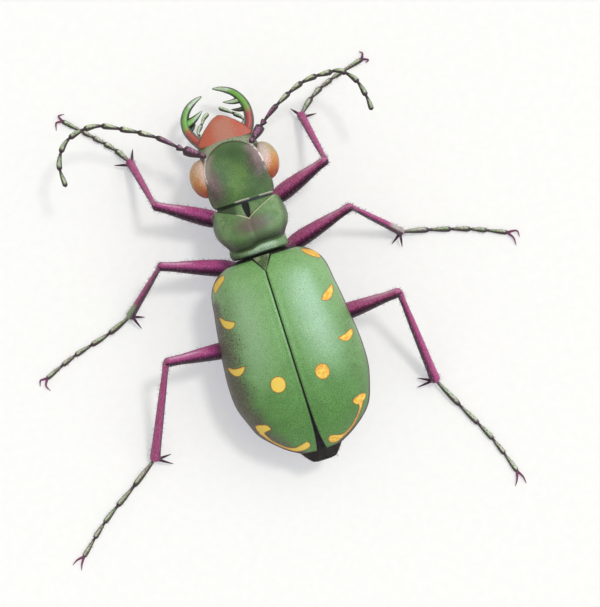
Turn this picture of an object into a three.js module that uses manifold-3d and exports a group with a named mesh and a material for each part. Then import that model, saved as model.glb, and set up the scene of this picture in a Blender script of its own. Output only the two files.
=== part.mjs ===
import * as THREE from 'three';
import { mergeVertices } from 'three/addons/utils/BufferGeometryUtils.js';
import Module from 'manifold-3d';

// A green tiger beetle standing on its six feet, 15 mm from its upper lip to the tip of its abdomen.
// Millimetres, +Z up. The head points to -Y and the beetle's left is +X.
// Places are measured from the tip of the scutellum, over the floor at z = 0.

// Driving dimensions

const gap = 0.25; // between neighbouring pieces
const shell = 0.55; // thickness of a wing case
const floorLevel = 0;
const bodySides = 24; // points round a cross section of the body

// Sizes along the body are [y, size] pairs. A cross section is an ellipse at a power of 2 and
// squarer at a higher one.
const wingCases = {
  front: -0.6,
  rear: 7.8,
  halfWidth: [
    [-0.6, 1.62], [-0.44, 1.93], [0, 2.36], [1.2, 2.64], [2.5, 2.82], [4.3, 2.97], [5.2, 2.89],
    [6, 2.57], [6.7, 2.14], [7.3, 1.5], [7.7, 0.9],
  ],
  top: [[-0.6, 4.45], [0, 4.85], [2.4, 5.15], [4.6, 4.92], [6.4, 4.2], [7.7, 3.2]],
  rim: [[-0.6, 3.2], [7.8, 2.75]],
  rings: [-0.6, -0.44, 0, 0.6, 1.4, 2.3, 3.2, 4.1, 4.9, 5.6, 6.2, 6.7, 7.1, 7.45, 7.7],
  power: 2.25,
  hollowFront: -0.9, // the hollow runs out ahead of the front edge
  hollowBase: 0.5,
};
const scutellum = { halfWidth: 0.4, length: 0.56, slope: 0.5, front: 4.47, bevel: 0.05 };
const belly = {
  halfWidth: [[-0.61, 1.55], [0, 2.0], [1.2, 2.28], [2.5, 2.47], [4.3, 2.62], [5.6, 2.4], [6.7, 1.8],
    [7.5, 1.1], [8, 0.6]],
  bottom: [[-0.61, 1.95], [1, 1.85], [2.5, 1.85], [4.5, 1.95], [6.5, 2.2], [8.27, 2.5]],
  front: -0.61,
  ceiling: 3.1, // it rises no higher than this beside the wing cases' rim
  power: 2.2,
  tip: { y: 8.27, halfWidth: 0.2, bottom: 2.42, level: 2.5, top: 2.58 },
  rings: [-0.61, -0.2, 0.4, 1.2, 2.2],
  ends: [[7.85, 0], [8.12, 0.12]], // [y, how far drawn in] before the tip
  plates: [3.25, 4.15, 5.0, 5.85, 6.65, 7.45], // where a belly plate begins
  groove: 0.07,
  cuts: [0.45, 3.05], // between mid thorax, hind thorax and abdomen
};
const prothorax = {
  halfWidth: [[-2.92, 1.4], [-2.6, 1.51], [-2.18, 1.59], [-1.76, 1.5], [-1.42, 1.3], [-1.26, 1.24],
    [-1.08, 1.27], [-0.86, 1.2]],
  top: [[-2.92, 4.15], [-2.72, 4.32], [-2.1, 4.55], [-1.5, 4.42], [-1.26, 4.22], [-1.08, 4.3],
    [-0.86, 4.2]],
  bottom: [[-2.92, 2.05], [-1.9, 1.9], [-0.86, 2]],
  level: 3.2,
  power: 2.35,
  rings: [-2.92, -2.8, -2.6, -2.18, -1.95, -1.76, -1.42, -1.26, -1.08, -0.86],
};
const head = {
  halfWidth: [[-5.85, 1.32], [-5.45, 1.32], [-5.0, 1.28], [-4.4, 1.34], [-3.6, 1.39], [-3.17, 1.35]],
  top: [[-5.85, 3.4], [-5.45, 3.72], [-5.0, 4.0], [-4.4, 4.15], [-3.6, 4.2], [-3.17, 4.05]],
  bottom: [[-5.85, 1.2], [-5.2, 1.4], [-4.4, 1.8], [-3.17, 2.1]],
  level: [[-5.85, 2.3], [-4.8, 2.9], [-3.17, 3.2]],
  rings: [-5.85, -5.65, -5.3, -4.9, -4.4, -3.9, -3.5, -3.17],
  power: 2.4,
};
const eye = { at: [1.3, -4.42, 3.45], radii: [0.62, 0.82, 0.78], inner: 1.0 };
const labrum = {
  from: -6.1, halfWidth: 1.06, length: 0.72, top: 3.26, thickness: 0.36, power: 2.6, sides: 16,
  // each is [share of the length, share of the width, drop]
  steps: [[0, 1, 0], [0.35, 0.96, 0.02], [0.65, 0.8, 0.07], [0.87, 0.5, 0.14], [1, 0.16, 0.22]],
};

// Each jaw is [x, y, z, radius] along its middle. A tooth is [share of the jaw, tip x, tip y, radius].
const jaws = {
  right: [[-1.08, -6.1, 2.3, 0.25], [-1.26, -6.5, 2.3, 0.23], [-1.22, -7.05, 2.28, 0.2],
    [-0.92, -7.62, 2.25, 0.15], [-0.14, -8.03, 2.2, 0.03]],
  left: [[1.08, -6.1, 2.3, 0.25], [1.42, -6.5, 2.3, 0.23], [1.42, -7.05, 2.28, 0.2],
    [1.15, -7.5, 2.25, 0.15], [0.41, -7.86, 2.2, 0.03]],
};
const teeth = {
  right: [[0.33, -0.64, -6.95, 0.13], [0.52, -0.38, -7.36, 0.13]],
  left: [[0.29, 1.0, -6.86, 0.11], [0.45, 0.56, -7.29, 0.15]],
};
const palps = {
  maxillary_left: [[0.72, -6.1, 1.45, 0.2], [0.98, -6.5, 1.42, 0.21], [0.62, -6.95, 1.4, 0.19],
    [0.32, -7.16, 1.4, 0.1]],
  maxillary_right: [[-0.72, -6.1, 1.45, 0.2], [-0.92, -6.5, 1.42, 0.21], [-0.5, -7.0, 1.4, 0.19],
    [-0.13, -7.26, 1.4, 0.1]],
  labial_left: [[0.32, -6.1, 1.45, 0.16], [0.36, -6.35, 1.35, 0.17], [0.3, -6.62, 1.28, 0.08]],
  labial_right: [[-0.32, -6.1, 1.45, 0.16], [-0.36, -6.35, 1.35, 0.17], [-0.3, -6.62, 1.28, 0.08]],
};

// Each feeler runs through these [x, y] places, and is parted at two shares of its length.
const feelers = {
  left: [[1.02, -5.62], [1.84, -5.91], [2.62, -6.62], [3.74, -7.31], [5.22, -7.91], [6.35, -7.62],
    [6.89, -6.84], [6.91, -5.82]],
  right: [[-1.02, -5.62], [-1.7, -5.93], [-2.5, -6.48], [-3.91, -7.09], [-5.19, -7.12],
    [-5.88, -6.6], [-6.17, -5.65], [-6.21, -5.08]],
  height: { root: 3.32, rest: 3.62 },
  radius: { root: 0.26, half: 0.25, tip: 0.11 },
  base: 0.13, // share of the length that is the first two segments
  middle: 0.56,
  segments: 9, // past the base
};

// Each pair of legs has its own sizes, and each leg its own joints in plan, as [x, y].
const coxaHeight = 2.05;
const ankleHeight = 0.45;
const soleRadius = 0.255;
const footHeights = [0.205, 0.17, 0.125]; // of a foot's middle, so that each segment has a flat sole
const legPairs = {
  fore: { coxa: [0.62, -2.42], hip: 1.62, knee: 3.2, sag: 0.04, femur: 0.34, shin: 0.25 },
  mid: { coxa: [0.62, -0.3], hip: 1.62, knee: 3.4, sag: 0.06, femur: 0.34, shin: 0.25 },
  hind: { coxa: [0.78, 2.3], hip: 1.58, knee: 3.8, sag: 0.16, femur: 0.36, shin: 0.26 },
};
const footShares = {
  fore: [0, 0.25, 0.41, 0.56, 0.71, 1],
  mid: [0, 0.27, 0.47, 0.65, 0.8, 1],
  hind: [0, 0.29, 0.5, 0.67, 0.82, 1],
};
// The spurs' and claws' tips are [along, aside] from the ankle and from the toe.
const legs = [
  { name: 'fore_left', hip: [1.05, -2.54], knee: [3.63, -4.0], ankle: [4.21, -6.25],
    foot: [[4.66, -6.95], [5.48, -7.83], [6.51, -8.87]], spurs: [[0.3, -0.52], [0.46, 0.54]] },
  { name: 'fore_right', hip: [-1.05, -2.8], knee: [-3.75, -3.7], ankle: [-3.4, -6.01],
    foot: [[-4.11, -6.63], [-5.03, -7.08], [-6.69, -7.56]], spurs: [[0.0, 0.55], [0.42, -0.53]] },
  { name: 'mid_left', hip: [1.05, -0.48], knee: [4.17, -1.51], ankle: [6.16, 0.05],
    foot: [[7.27, 0.49], [9.05, 0.99], [10.44, 1.55]], spurs: [[-0.45, 0.42], [-0.03, 0.72]] },
  { name: 'mid_right', hip: [-1.05, -0.72], knee: [-4.16, -1.53], ankle: [-6.0, 0.05],
    foot: [[-7.26, 0.35], [-8.83, 0.81], [-10.42, 1.46]], spurs: [[-0.42, -0.5], [0.02, -0.66]] },
  { name: 'hind_left', hip: [1.3, 2.76], knee: [5.1, 2.39], ankle: [6.98, 6.21],
    foot: [[8.24, 7.09], [9.88, 8.19], [11.21, 9.36]], spurs: [[-0.58, 0.42], [-0.3, 0.76]] },
  { name: 'hind_right', hip: [-1.3, 2.69], knee: [-5.03, 2.48], ankle: [-5.51, 6.56],
    foot: [[-6.19, 7.91], [-7.11, 9.71], [-7.73, 11.42]], spurs: [[-0.58, -0.5], [-0.3, -0.78]] },
];
const claw = { length: 0.42, spread: 0.5, radius: 0.09, tipHeight: 0.07 };
const spur = { back: 0.32, beside: 0.1, radius: 0.1, tipHeight: 0.24 };

const finishes = {
  green: { color: 0x3f8a4c, roughness: 0.35, metalness: 0.35 },
  darkGreen: { color: 0x1f4a33, roughness: 0.4, metalness: 0.3 },
  bronze: { color: 0x6b3f4f, roughness: 0.4, metalness: 0.4 },
  dusky: { color: 0x4d5a52, roughness: 0.5, metalness: 0.2 },
  amber: { color: 0xc9702a, roughness: 0.15, metalness: 0 },
  coral: { color: 0xc4472c, roughness: 0.35, metalness: 0 },
  ivory: { color: 0x8fae5a, roughness: 0.3, metalness: 0 },
};

const up = new THREE.Vector3(0, 0, 1);
const wasm = await Module();
wasm.setup();

// A size that runs smoothly through its [y, size] pairs.
function along(pairs) {
  const curve = new THREE.CubicInterpolant(pairs.map((p) => p[0]), pairs.map((p) => p[1]), 1);
  return (y) => curve.evaluate(y)[0];
}

// A closed surface through rings of as many points each, with a fan over both ends.
function skin(rings) {
  const count = rings[0].length;
  const middle = (ring) => ring.reduce((sum, p) => sum.add(p), new THREE.Vector3()).divideScalar(count);
  const points = [...rings.flat(), middle(rings[0]), middle(rings.at(-1))];
  const first = points.length - 2;
  const last = points.length - 1;
  const faces = [];
  for (let i = 0; i < count; i++) {
    const next = (i + 1) % count;
    for (let r = 0; r + 1 < rings.length; r++) {
      const [a, b] = [r * count + i, r * count + next];
      faces.push([a, b, b + count], [a, b + count, a + count]);
    }
    const end = (rings.length - 1) * count;
    faces.push([first, next, i], [last, end + i, end + next]);
  }
  const volume = faces.reduce((sum, [a, b, c]) => {
    return sum + points[a].dot(new THREE.Vector3().crossVectors(points[b], points[c]));
  }, 0);
  const order = volume > 0 ? faces : faces.map(([a, b, c]) => [a, c, b]);
  const places = points.flatMap((p) => p.toArray());
  const geometry = new THREE.BufferGeometry();
  geometry.setAttribute('position', new THREE.Float32BufferAttribute(places, 3));
  geometry.setIndex(order.flat());
  return geometry;
}

// A cross section of the body at y, widest at level. Its curve is rounder at the power of 2.
function section(y, halfWidth, bottom, level, top, power, sides) {
  return Array.from({ length: sides }, (_, i) => {
    const angle = (i / sides) * 2 * Math.PI;
    const bend = (share) => Math.sign(share) * Math.abs(share) ** (2 / power);
    const rise = bend(Math.sin(angle));
    const reach = rise > 0 ? top - level : level - bottom;
    return new THREE.Vector3(halfWidth * bend(Math.cos(angle)), y, level + reach * rise);
  });
}

// An arch at y that stands on a flat base.
function arch(y, halfWidth, base, level, top, power, sides) {
  const points = Array.from({ length: sides + 1 }, (_, i) => {
    const angle = (i / sides) * Math.PI;
    const across = Math.sign(Math.cos(angle)) * Math.abs(Math.cos(angle)) ** (2 / power);
    return new THREE.Vector3(halfWidth * across, y, level + (top - level) * Math.sin(angle) ** (2 / power));
  });
  if (base < level) {
    points.push(new THREE.Vector3(-halfWidth, y, base), new THREE.Vector3(halfWidth, y, base));
  }
  return points;
}

// Rings round a curve. Each section is [share of the curve, radius, height over width].
function tube(curve, sections, sides, grow = 0) {
  const rings = sections.map(([share, radius, flat = 1], i) => {
    const ahead = curve.getTangentAt(share);
    const across = new THREE.Vector3().crossVectors(ahead, up).normalize();
    const over = new THREE.Vector3().crossVectors(across, ahead);
    const end = i === 0 ? -grow : i === sections.length - 1 ? grow : 0;
    const centre = curve.getPointAt(share).addScaledVector(ahead, end);
    return Array.from({ length: sides }, (_, k) => {
      const angle = ((k + 0.5) / sides) * 2 * Math.PI;
      return centre.clone()
        .addScaledVector(across, (radius + grow) * Math.cos(angle))
        .addScaledVector(over, (radius * flat + grow) * Math.sin(angle));
    });
  });
  return skin(rings);
}

// A curved spike from one point towards another, its tip bent down by drop.
function spike(root, tip, radius, drop, sides = 5) {
  const middle = root.clone().lerp(tip, 0.5).addScaledVector(up, drop);
  const curve = new THREE.QuadraticBezierCurve3(root, middle, tip);
  return tube(curve, [[0, radius], [0.5, radius * 0.72], [0.97, 0.03]], sides);
}

function curveThrough(points) {
  return new THREE.CatmullRomCurve3(points.map((p) => new THREE.Vector3(...p)));
}

function solid(geometry) {
  const bare = geometry.index ? geometry : mergeVertices(geometry, 1e-4);
  return new wasm.Manifold(new wasm.Mesh({
    numProp: 3,
    vertProperties: new Float32Array(bare.attributes.position.array),
    triVerts: new Uint32Array(bare.index.array),
  }));
}

function join(...pieces) {
  return pieces.reduce((whole, piece) => whole.add(piece));
}

// Keeps what lies past the plane through a point, on the side that its normal points to.
function keep(piece, point, normal) {
  const n = normal.clone().normalize();
  return piece.trimByPlane(n.toArray(), point.dot(n));
}

const atY = (y) => new THREE.Vector3(0, y, 0);
const rearward = new THREE.Vector3(0, 1, 0);
const forward = new THREE.Vector3(0, -1, 0);
const leftward = new THREE.Vector3(1, 0, 0);

// The largest closed body of a piece, as a named mesh.
function mesh(name, piece, finish, origin = new THREE.Vector3()) {
  const parts = piece.simplify(0.004).decompose();
  const body = parts.reduce((best, part) => (part.volume() > best.volume() ? part : best));
  const data = body.getMesh();
  const geometry = new THREE.BufferGeometry();
  geometry.setAttribute('position', new THREE.BufferAttribute(data.vertProperties.slice(), 3));
  geometry.setIndex(new THREE.BufferAttribute(data.triVerts.slice(), 1));
  geometry.translate(-origin.x, -origin.y, -origin.z);
  geometry.computeVertexNormals();
  const made = new THREE.Mesh(geometry, new THREE.MeshStandardMaterial({ ...finish, flatShading: true }));
  made.name = name;
  made.position.copy(origin);
  return made;
}

// Legs

function over([x, y], z) {
  return new THREE.Vector3(x, y, z);
}

// The joints of a leg and the curves of its lengths.
function layOut(leg) {
  const [pairName, sideName] = leg.name.split('_');
  const pair = legPairs[pairName];
  const side = sideName === 'left' ? 1 : -1;
  const coxa = new THREE.Vector3(side * pair.coxa[0], pair.coxa[1], coxaHeight);
  const hip = over(leg.hip, pair.hip);
  const knee = over(leg.knee, pair.knee);
  const ankle = over(leg.ankle, ankleHeight);
  const thighMiddle = hip.clone().lerp(knee, 0.5).addScaledVector(up, -pair.sag);
  const toes = leg.foot.map((place, i) => over(place, footHeights[i]));
  return {
    pair, coxa, hip, knee, ankle, toes,
    thigh: new THREE.QuadraticBezierCurve3(hip, thighMiddle, knee),
    shin: new THREE.LineCurve3(knee, ankle),
    sole: new THREE.CatmullRomCurve3([ankle, ...toes]),
    shares: footShares[pairName],
  };
}

// Two lengths that meet at a joint are cut along the plane that halves their angle.
function mitre(joint, before, after) {
  const normal = before.clone().normalize().add(after.clone().normalize()).normalize();
  return {
    inner: (piece) => keep(piece, joint.clone().addScaledVector(normal, -gap / 2), normal.clone().negate()),
    outer: (piece) => keep(piece, joint.clone().addScaledVector(normal, gap / 2), normal),
  };
}

function hipPiece(plan, grow = 0) {
  const bend = plan.coxa.clone().lerp(plan.hip, 0.45).addScaledVector(up, -0.12);
  const ahead = plan.hip.clone().addScaledVector(plan.thigh.getTangent(0), 0.15);
  const curve = new THREE.CatmullRomCurve3([plan.coxa, bend, ahead]);
  return tube(curve, [[0, 0.34], [0.35, 0.38], [0.65, 0.3], [1, 0.23]], 10, grow);
}

function thighPiece(plan, grow = 0) {
  const thick = plan.pair.femur;
  const ahead = plan.thigh.getTangent(1).multiplyScalar(0.16);
  const start = plan.thigh.getTangent(0).multiplyScalar(-0.1);
  const between = [0.25, 0.5, 0.75].map((t) => plan.thigh.getPoint(t));
  const curve = new THREE.CatmullRomCurve3([
    plan.thigh.getPoint(0).add(start), ...between, plan.knee.clone().add(ahead),
  ]);
  return tube(curve, [[0, 0.22], [0.1, 0.27], [0.32, thick], [0.55, thick * 0.96], [0.78, thick * 0.82],
    [0.93, 0.27], [1, 0.17]], 10, grow);
}

function shinPiece(plan, grow = 0) {
  const { knee, ankle, pair } = plan;
  const ahead = ankle.clone().sub(knee).normalize();
  const curve = new THREE.LineCurve3(knee.clone().addScaledVector(ahead, -0.16),
    ankle.clone().addScaledVector(ahead, 0.12));
  return tube(curve, [[0, 0.17], [0.06, 0.26], [0.2, pair.shin], [0.6, pair.shin], [0.88, pair.shin + 0.03],
    [0.97, pair.shin], [1, 0.2]], 8, grow);
}

// The spurs stand on the shin's end, one to each side.
function spurPieces(plan, tips) {
  const ahead = plan.ankle.clone().sub(plan.knee).normalize();
  const level = new THREE.Vector3().subVectors(plan.toes[0], plan.ankle).setZ(0).normalize();
  const aside = new THREE.Vector3().crossVectors(up, level);
  const root = plan.ankle.clone().addScaledVector(ahead, -spur.back);
  return tips.map(([on, beside]) => {
    const tip = plan.ankle.clone().addScaledVector(level, on).addScaledVector(aside, beside);
    const start = root.clone().addScaledVector(aside, Math.sign(beside) * spur.beside);
    return solid(spike(start, tip.setZ(spur.tipHeight), spur.radius, 0.06));
  });
}

// Five foot segments, each wider at its end, and two claws on the last.
function footPiece(plan) {
  const back = plan.ankle.clone().addScaledVector(plan.sole.getTangentAt(0), -0.1);
  const curve = new THREE.CatmullRomCurve3([back, ...plan.sole.getPoints(4).slice(1)]);
  const sections = plan.shares.slice(1).flatMap((end, i) => {
    const start = plan.shares[i];
    const size = 1 - 0.07 * i;
    const length = end - start;
    return [
      [start + length * 0.04, 0.19 * size],
      [start + length * 0.8, soleRadius * size],
      [start + length * 0.97, 0.21 * size],
    ];
  });
  const toe = curve.getPointAt(1);
  const ahead = curve.getTangentAt(1).setZ(0).normalize();
  const claws = [-1, 1].map((side) => {
    const way = ahead.clone().applyAxisAngle(up, side * claw.spread);
    const root = toe.clone().addScaledVector(ahead, -0.2);
    const tip = toe.clone().addScaledVector(way, claw.length).setZ(claw.tipHeight);
    return solid(spike(root, tip, claw.radius, 0.12));
  });
  const whole = join(solid(tube(curve, sections, 8)), ...claws);
  return keep(whole, new THREE.Vector3(0, 0, floorLevel), up);
}

function buildLeg(leg, plan) {
  const group = new THREE.Group();
  const atHip = mitre(plan.hip, plan.hip.clone().sub(plan.coxa).setZ(0), plan.thigh.getTangent(0));
  const atKnee = mitre(plan.knee, plan.thigh.getTangent(1), plan.shin.getTangent(0));
  const atAnkle = mitre(plan.ankle, plan.shin.getTangent(0), plan.sole.getTangentAt(0));
  const hip = atHip.inner(solid(hipPiece(plan)));
  const thigh = atKnee.inner(atHip.outer(solid(thighPiece(plan))));
  const shin = atAnkle.inner(atKnee.outer(solid(shinPiece(plan))));
  const shinWithSpurs = join(shin, ...spurPieces(plan, leg.spurs));
  const foot = atAnkle.outer(footPiece(plan));
  group.position.copy(plan.coxa);
  const place = (name, piece, finish) => {
    const made = mesh(name, piece, finish, plan.coxa);
    made.position.set(0, 0, 0);
    group.add(made);
  };
  place('coxa_' + leg.name, hip, finishes.darkGreen);
  place('femur_' + leg.name, thigh, finishes.bronze);
  place('tibia_' + leg.name, shinWithSpurs, finishes.bronze);
  place('tarsus_' + leg.name, foot, finishes.dusky);
  return group;
}

const plans = legs.map(layOut);
const clearOfLegs = plans.flatMap((plan) => [solid(hipPiece(plan, gap)), solid(thighPiece(plan, gap))]);

function clear(piece, cutters) {
  return cutters.reduce((left, cutter) => left.subtract(cutter), piece);
}

// Wing cases and the body under them

const caseWidth = along(wingCases.halfWidth);
const caseTop = along(wingCases.top);
const caseRim = along(wingCases.rim);
const bellyWidth = along(belly.halfWidth);
const bellyBottom = along(belly.bottom);

// The dome of the wing cases, drawn in by a depth on its sides, top and rear.
function dome(inset, base, front = wingCases.front) {
  const { rings, rear } = wingCases;
  const shrink = (rear - inset - front) / (rear - wingCases.front);
  return skin(rings.map((ringY) => {
    const y = front + (ringY - wingCases.front) * shrink;
    const level = caseRim(ringY);
    return arch(y, Math.max(caseWidth(ringY) - inset, 0.08), base ?? level, level,
      Math.max(caseTop(ringY) - inset, level + 0.05), wingCases.power, bodySides);
  }));
}

function scutellumPiece(grow = 0) {
  const { halfWidth, length, slope, front, bevel } = scutellum;
  const side = new THREE.Shape();
  side.moveTo(-halfWidth - 1.4 * grow, -grow);
  side.lineTo(halfWidth + 1.4 * grow, -grow);
  side.lineTo(0, length + 1.6 * grow);
  side.closePath();
  const plate = new THREE.ExtrudeGeometry(side, {
    depth: shell - 2 * bevel + 2 * grow, bevelThickness: bevel, bevelSize: bevel, bevelOffset: -bevel,
    bevelSegments: 1, steps: 1,
  });
  plate.translate(0, 0, bevel - shell - grow);
  plate.rotateX(slope);
  plate.translate(0, wingCases.front, front);
  plate.deleteAttribute('normal');
  plate.deleteAttribute('uv');
  return solid(mergeVertices(plate, 1e-4));
}

const hollow = dome(shell, wingCases.hollowBase, wingCases.hollowFront);
const caseShell = clear(solid(dome(0)), [solid(hollow), scutellumPiece(gap)]);

function halfCase(side) {
  return keep(caseShell, new THREE.Vector3((side * gap) / 2, 0, 0), leftward.clone().multiplyScalar(side));
}

// The underside hangs below the wing cases' rim and ends in the tip of the abdomen.
function undersideRing(y, inset) {
  const top = Math.min(caseRim(y), belly.ceiling) - gap;
  return section(y, bellyWidth(y) - inset, bellyBottom(y) + inset, top - 0.12, top, belly.power, bodySides);
}

function bodyCore() {
  const { rings, plates, groove, ends, tip, front } = belly;
  const plateRings = plates.flatMap((y) => [[y - 0.06, 0], [y, groove], [y + 0.05, 0]]);
  const underside = skin([
    ...[...rings.map((y) => [y, 0]), ...plateRings, ...ends].map(([y, inset]) => undersideRing(y, inset)),
    section(tip.y, tip.halfWidth, tip.bottom, tip.level, tip.top, 2, bodySides),
  ]);
  const upper = dome(shell + gap, 2.4, front);
  return join(solid(upper), solid(underside));
}

const core = clear(bodyCore(), clearOfLegs);

function slice(piece, from, to) {
  return keep(keep(piece, atY(from), rearward), atY(to), forward);
}

// Head and prothorax

function prothoraxPiece() {
  const [width, top, bottom] = [prothorax.halfWidth, prothorax.top, prothorax.bottom].map(along);
  const { rings, level, power } = prothorax;
  return skin(rings.map((y) => section(y, width(y), bottom(y), level, top(y), power, bodySides)));
}

function eyePiece(side, grow = 0) {
  const ball = new THREE.SphereGeometry(1, 16, 10);
  ball.deleteAttribute('normal');
  ball.deleteAttribute('uv');
  const whole = mergeVertices(ball, 1e-4);
  whole.scale(...eye.radii.map((radius) => radius + grow));
  whole.translate(side * eye.at[0], eye.at[1], eye.at[2]);
  const wall = new THREE.Vector3(side * (eye.inner - grow), 0, 0);
  return keep(solid(whole), wall, leftward.clone().multiplyScalar(side));
}

function feelerCurve(places) {
  const { root, rest } = feelers.height;
  return new THREE.CatmullRomCurve3(places.map((place, i) => over(place, i ? rest : root)));
}

// A feeler's radius narrows at each joint between its segments.
function feelerSections() {
  const { root, half, tip } = feelers.radius;
  const { lerp } = THREE.MathUtils;
  const taper = (share) => (share < 0.5 ? lerp(root, half, 2 * share) : lerp(half, tip, 2 * share - 1));
  const sections = [[0, root * 0.72], [0.03, root * 0.95], [0.1, root], [feelers.base, root * 0.85]];
  const step = (1 - feelers.base) / feelers.segments;
  for (let i = 0; i < feelers.segments; i++) {
    const start = feelers.base + i * step;
    const end = start + step;
    const narrow = i < feelers.segments - 1 ? 0.82 : 0.5;
    sections.push([start + step * 0.7, taper(end) * 1.02], [end, taper(end) * narrow]);
  }
  return sections;
}

function feelerPieces(places, grow = 0) {
  return solid(tube(feelerCurve(places), feelerSections(), 8, grow));
}

function headPiece() {
  const [width, top, bottom, level] = [head.halfWidth, head.top, head.bottom, head.level].map(along);
  const capsule = solid(skin(head.rings.map((y) => {
    return section(y, width(y), bottom(y), level(y), top(y), head.power, bodySides);
  })));
  const rooms = [1, -1].map((side) => eyePiece(side, gap));
  const sockets = [feelers.left, feelers.right].map((places) => feelerPieces(places, gap));
  return clear(capsule, [...rooms, ...sockets]);
}

function labrumPiece() {
  const { from, halfWidth, length, top, thickness, power, sides, steps } = labrum;
  return solid(skin(steps.map(([share, wide, drop]) => {
    const crown = top - drop;
    const base = top - thickness - drop * 0.5;
    return section(from - share * length, halfWidth * wide, base, (crown + base) / 2, crown, power, sides);
  })));
}

// A jaw is a sickle with two teeth on its inner side.
function jawPiece(name) {
  const path = jaws[name];
  const curve = curveThrough(path.map((p) => p.slice(0, 3)));
  const shares = [0, 0.17, 0.42, 0.68, 0.86, 1];
  const radii = [path[0][3], path[1][3], path[2][3], path[3][3], 0.1, path[4][3]];
  const heights = [1.4, 1.4, 1.35, 1.2, 1.1, 1]; // over the width
  const sickle = solid(tube(curve, shares.map((share, i) => [share, radii[i], heights[i]]), 10));
  return join(sickle, ...teeth[name].map(([share, x, y, radius]) => {
    const root = curve.getPointAt(share);
    return solid(spike(root, over([x, y], root.z - 0.03), radius, 0, 6));
  }));
}

function palpPiece(path) {
  const curve = curveThrough(path.map((p) => p.slice(0, 3)));
  const sections = path.map((p, i) => [i / (path.length - 1), p[3]]);
  return solid(tube(curve, sections, 8));
}

// Assembly

const beetle = new THREE.Group();
const headGroup = new THREE.Group();
const thoraxGroup = new THREE.Group();
const abdomenGroup = new THREE.Group();
beetle.add(headGroup, thoraxGroup, abdomenGroup);

headGroup.add(
  mesh('head', headPiece(), finishes.green),
  mesh('labrum', labrumPiece(), finishes.coral),
  mesh('mandible_left', jawPiece('left'), finishes.ivory),
  mesh('mandible_right', jawPiece('right'), finishes.ivory),
);
for (const [name, side] of [['left', 1], ['right', -1]]) {
  headGroup.add(mesh('eye_' + name, eyePiece(side), finishes.amber));
  const whole = feelerPieces(feelers[name]);
  const curve = feelerCurve(feelers[name]);
  const cuts = [feelers.base, feelers.middle].map((share) => {
    return mitre(curve.getPointAt(share), curve.getTangentAt(share), curve.getTangentAt(share));
  });
  // The feeler curls back over its own cuts, so each length is the larger body on its side of a cut.
  const base = cuts[0].inner(whole);
  const rest = cuts[0].outer(whole);
  headGroup.add(
    mesh('antenna_base_' + name, base, finishes.bronze),
    mesh('antenna_middle_' + name, cuts[1].inner(rest), finishes.dusky),
    mesh('antenna_tip_' + name, cuts[1].outer(rest), finishes.dusky),
  );
}
for (const [name, path] of Object.entries(palps)) {
  headGroup.add(mesh('palp_' + name, palpPiece(path), finishes.coral));
}

const [cutMid, cutHind] = belly.cuts;
thoraxGroup.add(
  mesh('prothorax', clear(solid(prothoraxPiece()), clearOfLegs), finishes.green),
  mesh('mesothorax', slice(core, belly.front, cutMid - gap / 2), finishes.darkGreen),
  mesh('metathorax', slice(core, cutMid + gap / 2, cutHind - gap / 2), finishes.darkGreen),
  mesh('scutellum', scutellumPiece(), finishes.darkGreen),
);
abdomenGroup.add(
  mesh('abdomen', slice(core, cutHind + gap / 2, belly.tip.y + 1), finishes.darkGreen),
  mesh('elytron_left', halfCase(1), finishes.green),
  mesh('elytron_right', halfCase(-1), finishes.green),
);
legs.forEach((leg, i) => beetle.add(buildLeg(leg, plans[i])));

// The origin lies on the floor, under the middle of the whole beetle's box.
const box = new THREE.Box3().setFromObject(beetle, true);
const middle = box.getCenter(new THREE.Vector3());
beetle.children.forEach((child) => child.position.sub(new THREE.Vector3(middle.x, middle.y, box.min.z)));

export default beetle;
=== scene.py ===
import bpy
import numpy as np
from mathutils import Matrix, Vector

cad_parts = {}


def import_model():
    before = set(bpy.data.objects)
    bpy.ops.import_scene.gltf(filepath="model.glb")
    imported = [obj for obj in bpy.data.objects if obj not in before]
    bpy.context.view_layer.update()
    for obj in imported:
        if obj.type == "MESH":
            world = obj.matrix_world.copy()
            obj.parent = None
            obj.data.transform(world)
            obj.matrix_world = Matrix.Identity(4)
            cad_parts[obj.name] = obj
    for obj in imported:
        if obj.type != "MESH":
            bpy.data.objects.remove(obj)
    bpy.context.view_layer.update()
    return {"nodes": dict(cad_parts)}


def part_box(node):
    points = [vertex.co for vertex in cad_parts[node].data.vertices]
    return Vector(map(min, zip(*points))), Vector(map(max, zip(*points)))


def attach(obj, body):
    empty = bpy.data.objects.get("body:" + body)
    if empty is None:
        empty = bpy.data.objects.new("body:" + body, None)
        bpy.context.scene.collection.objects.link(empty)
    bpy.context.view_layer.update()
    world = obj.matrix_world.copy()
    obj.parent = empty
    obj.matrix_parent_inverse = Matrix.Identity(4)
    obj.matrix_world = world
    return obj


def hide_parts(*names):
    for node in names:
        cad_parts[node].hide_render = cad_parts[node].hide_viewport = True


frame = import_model()
print("frame loaded,", len(frame["nodes"]), "solids")

# Every place below is in millimetres from the tip of the scutellum: x to the beetle's left,
# y to its rear, z up from the floor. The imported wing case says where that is.
mm = 0.001
caseInside, caseRear = 0.125, 7.7  # where the solid wing case's inner side and rear end lie
caseLow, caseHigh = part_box("elytron_left")
zero = np.array([caseLow.x - caseInside * mm, caseHigh.y - caseRear * mm, 0.0])
dice = np.random.default_rng(11)


def world(places):
    return np.asarray(places, float) * mm + zero


def addThing(name, data):
    thing = bpy.data.objects.new(name, data)
    bpy.context.scene.collection.objects.link(thing)
    return thing


# Camera and light

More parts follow.
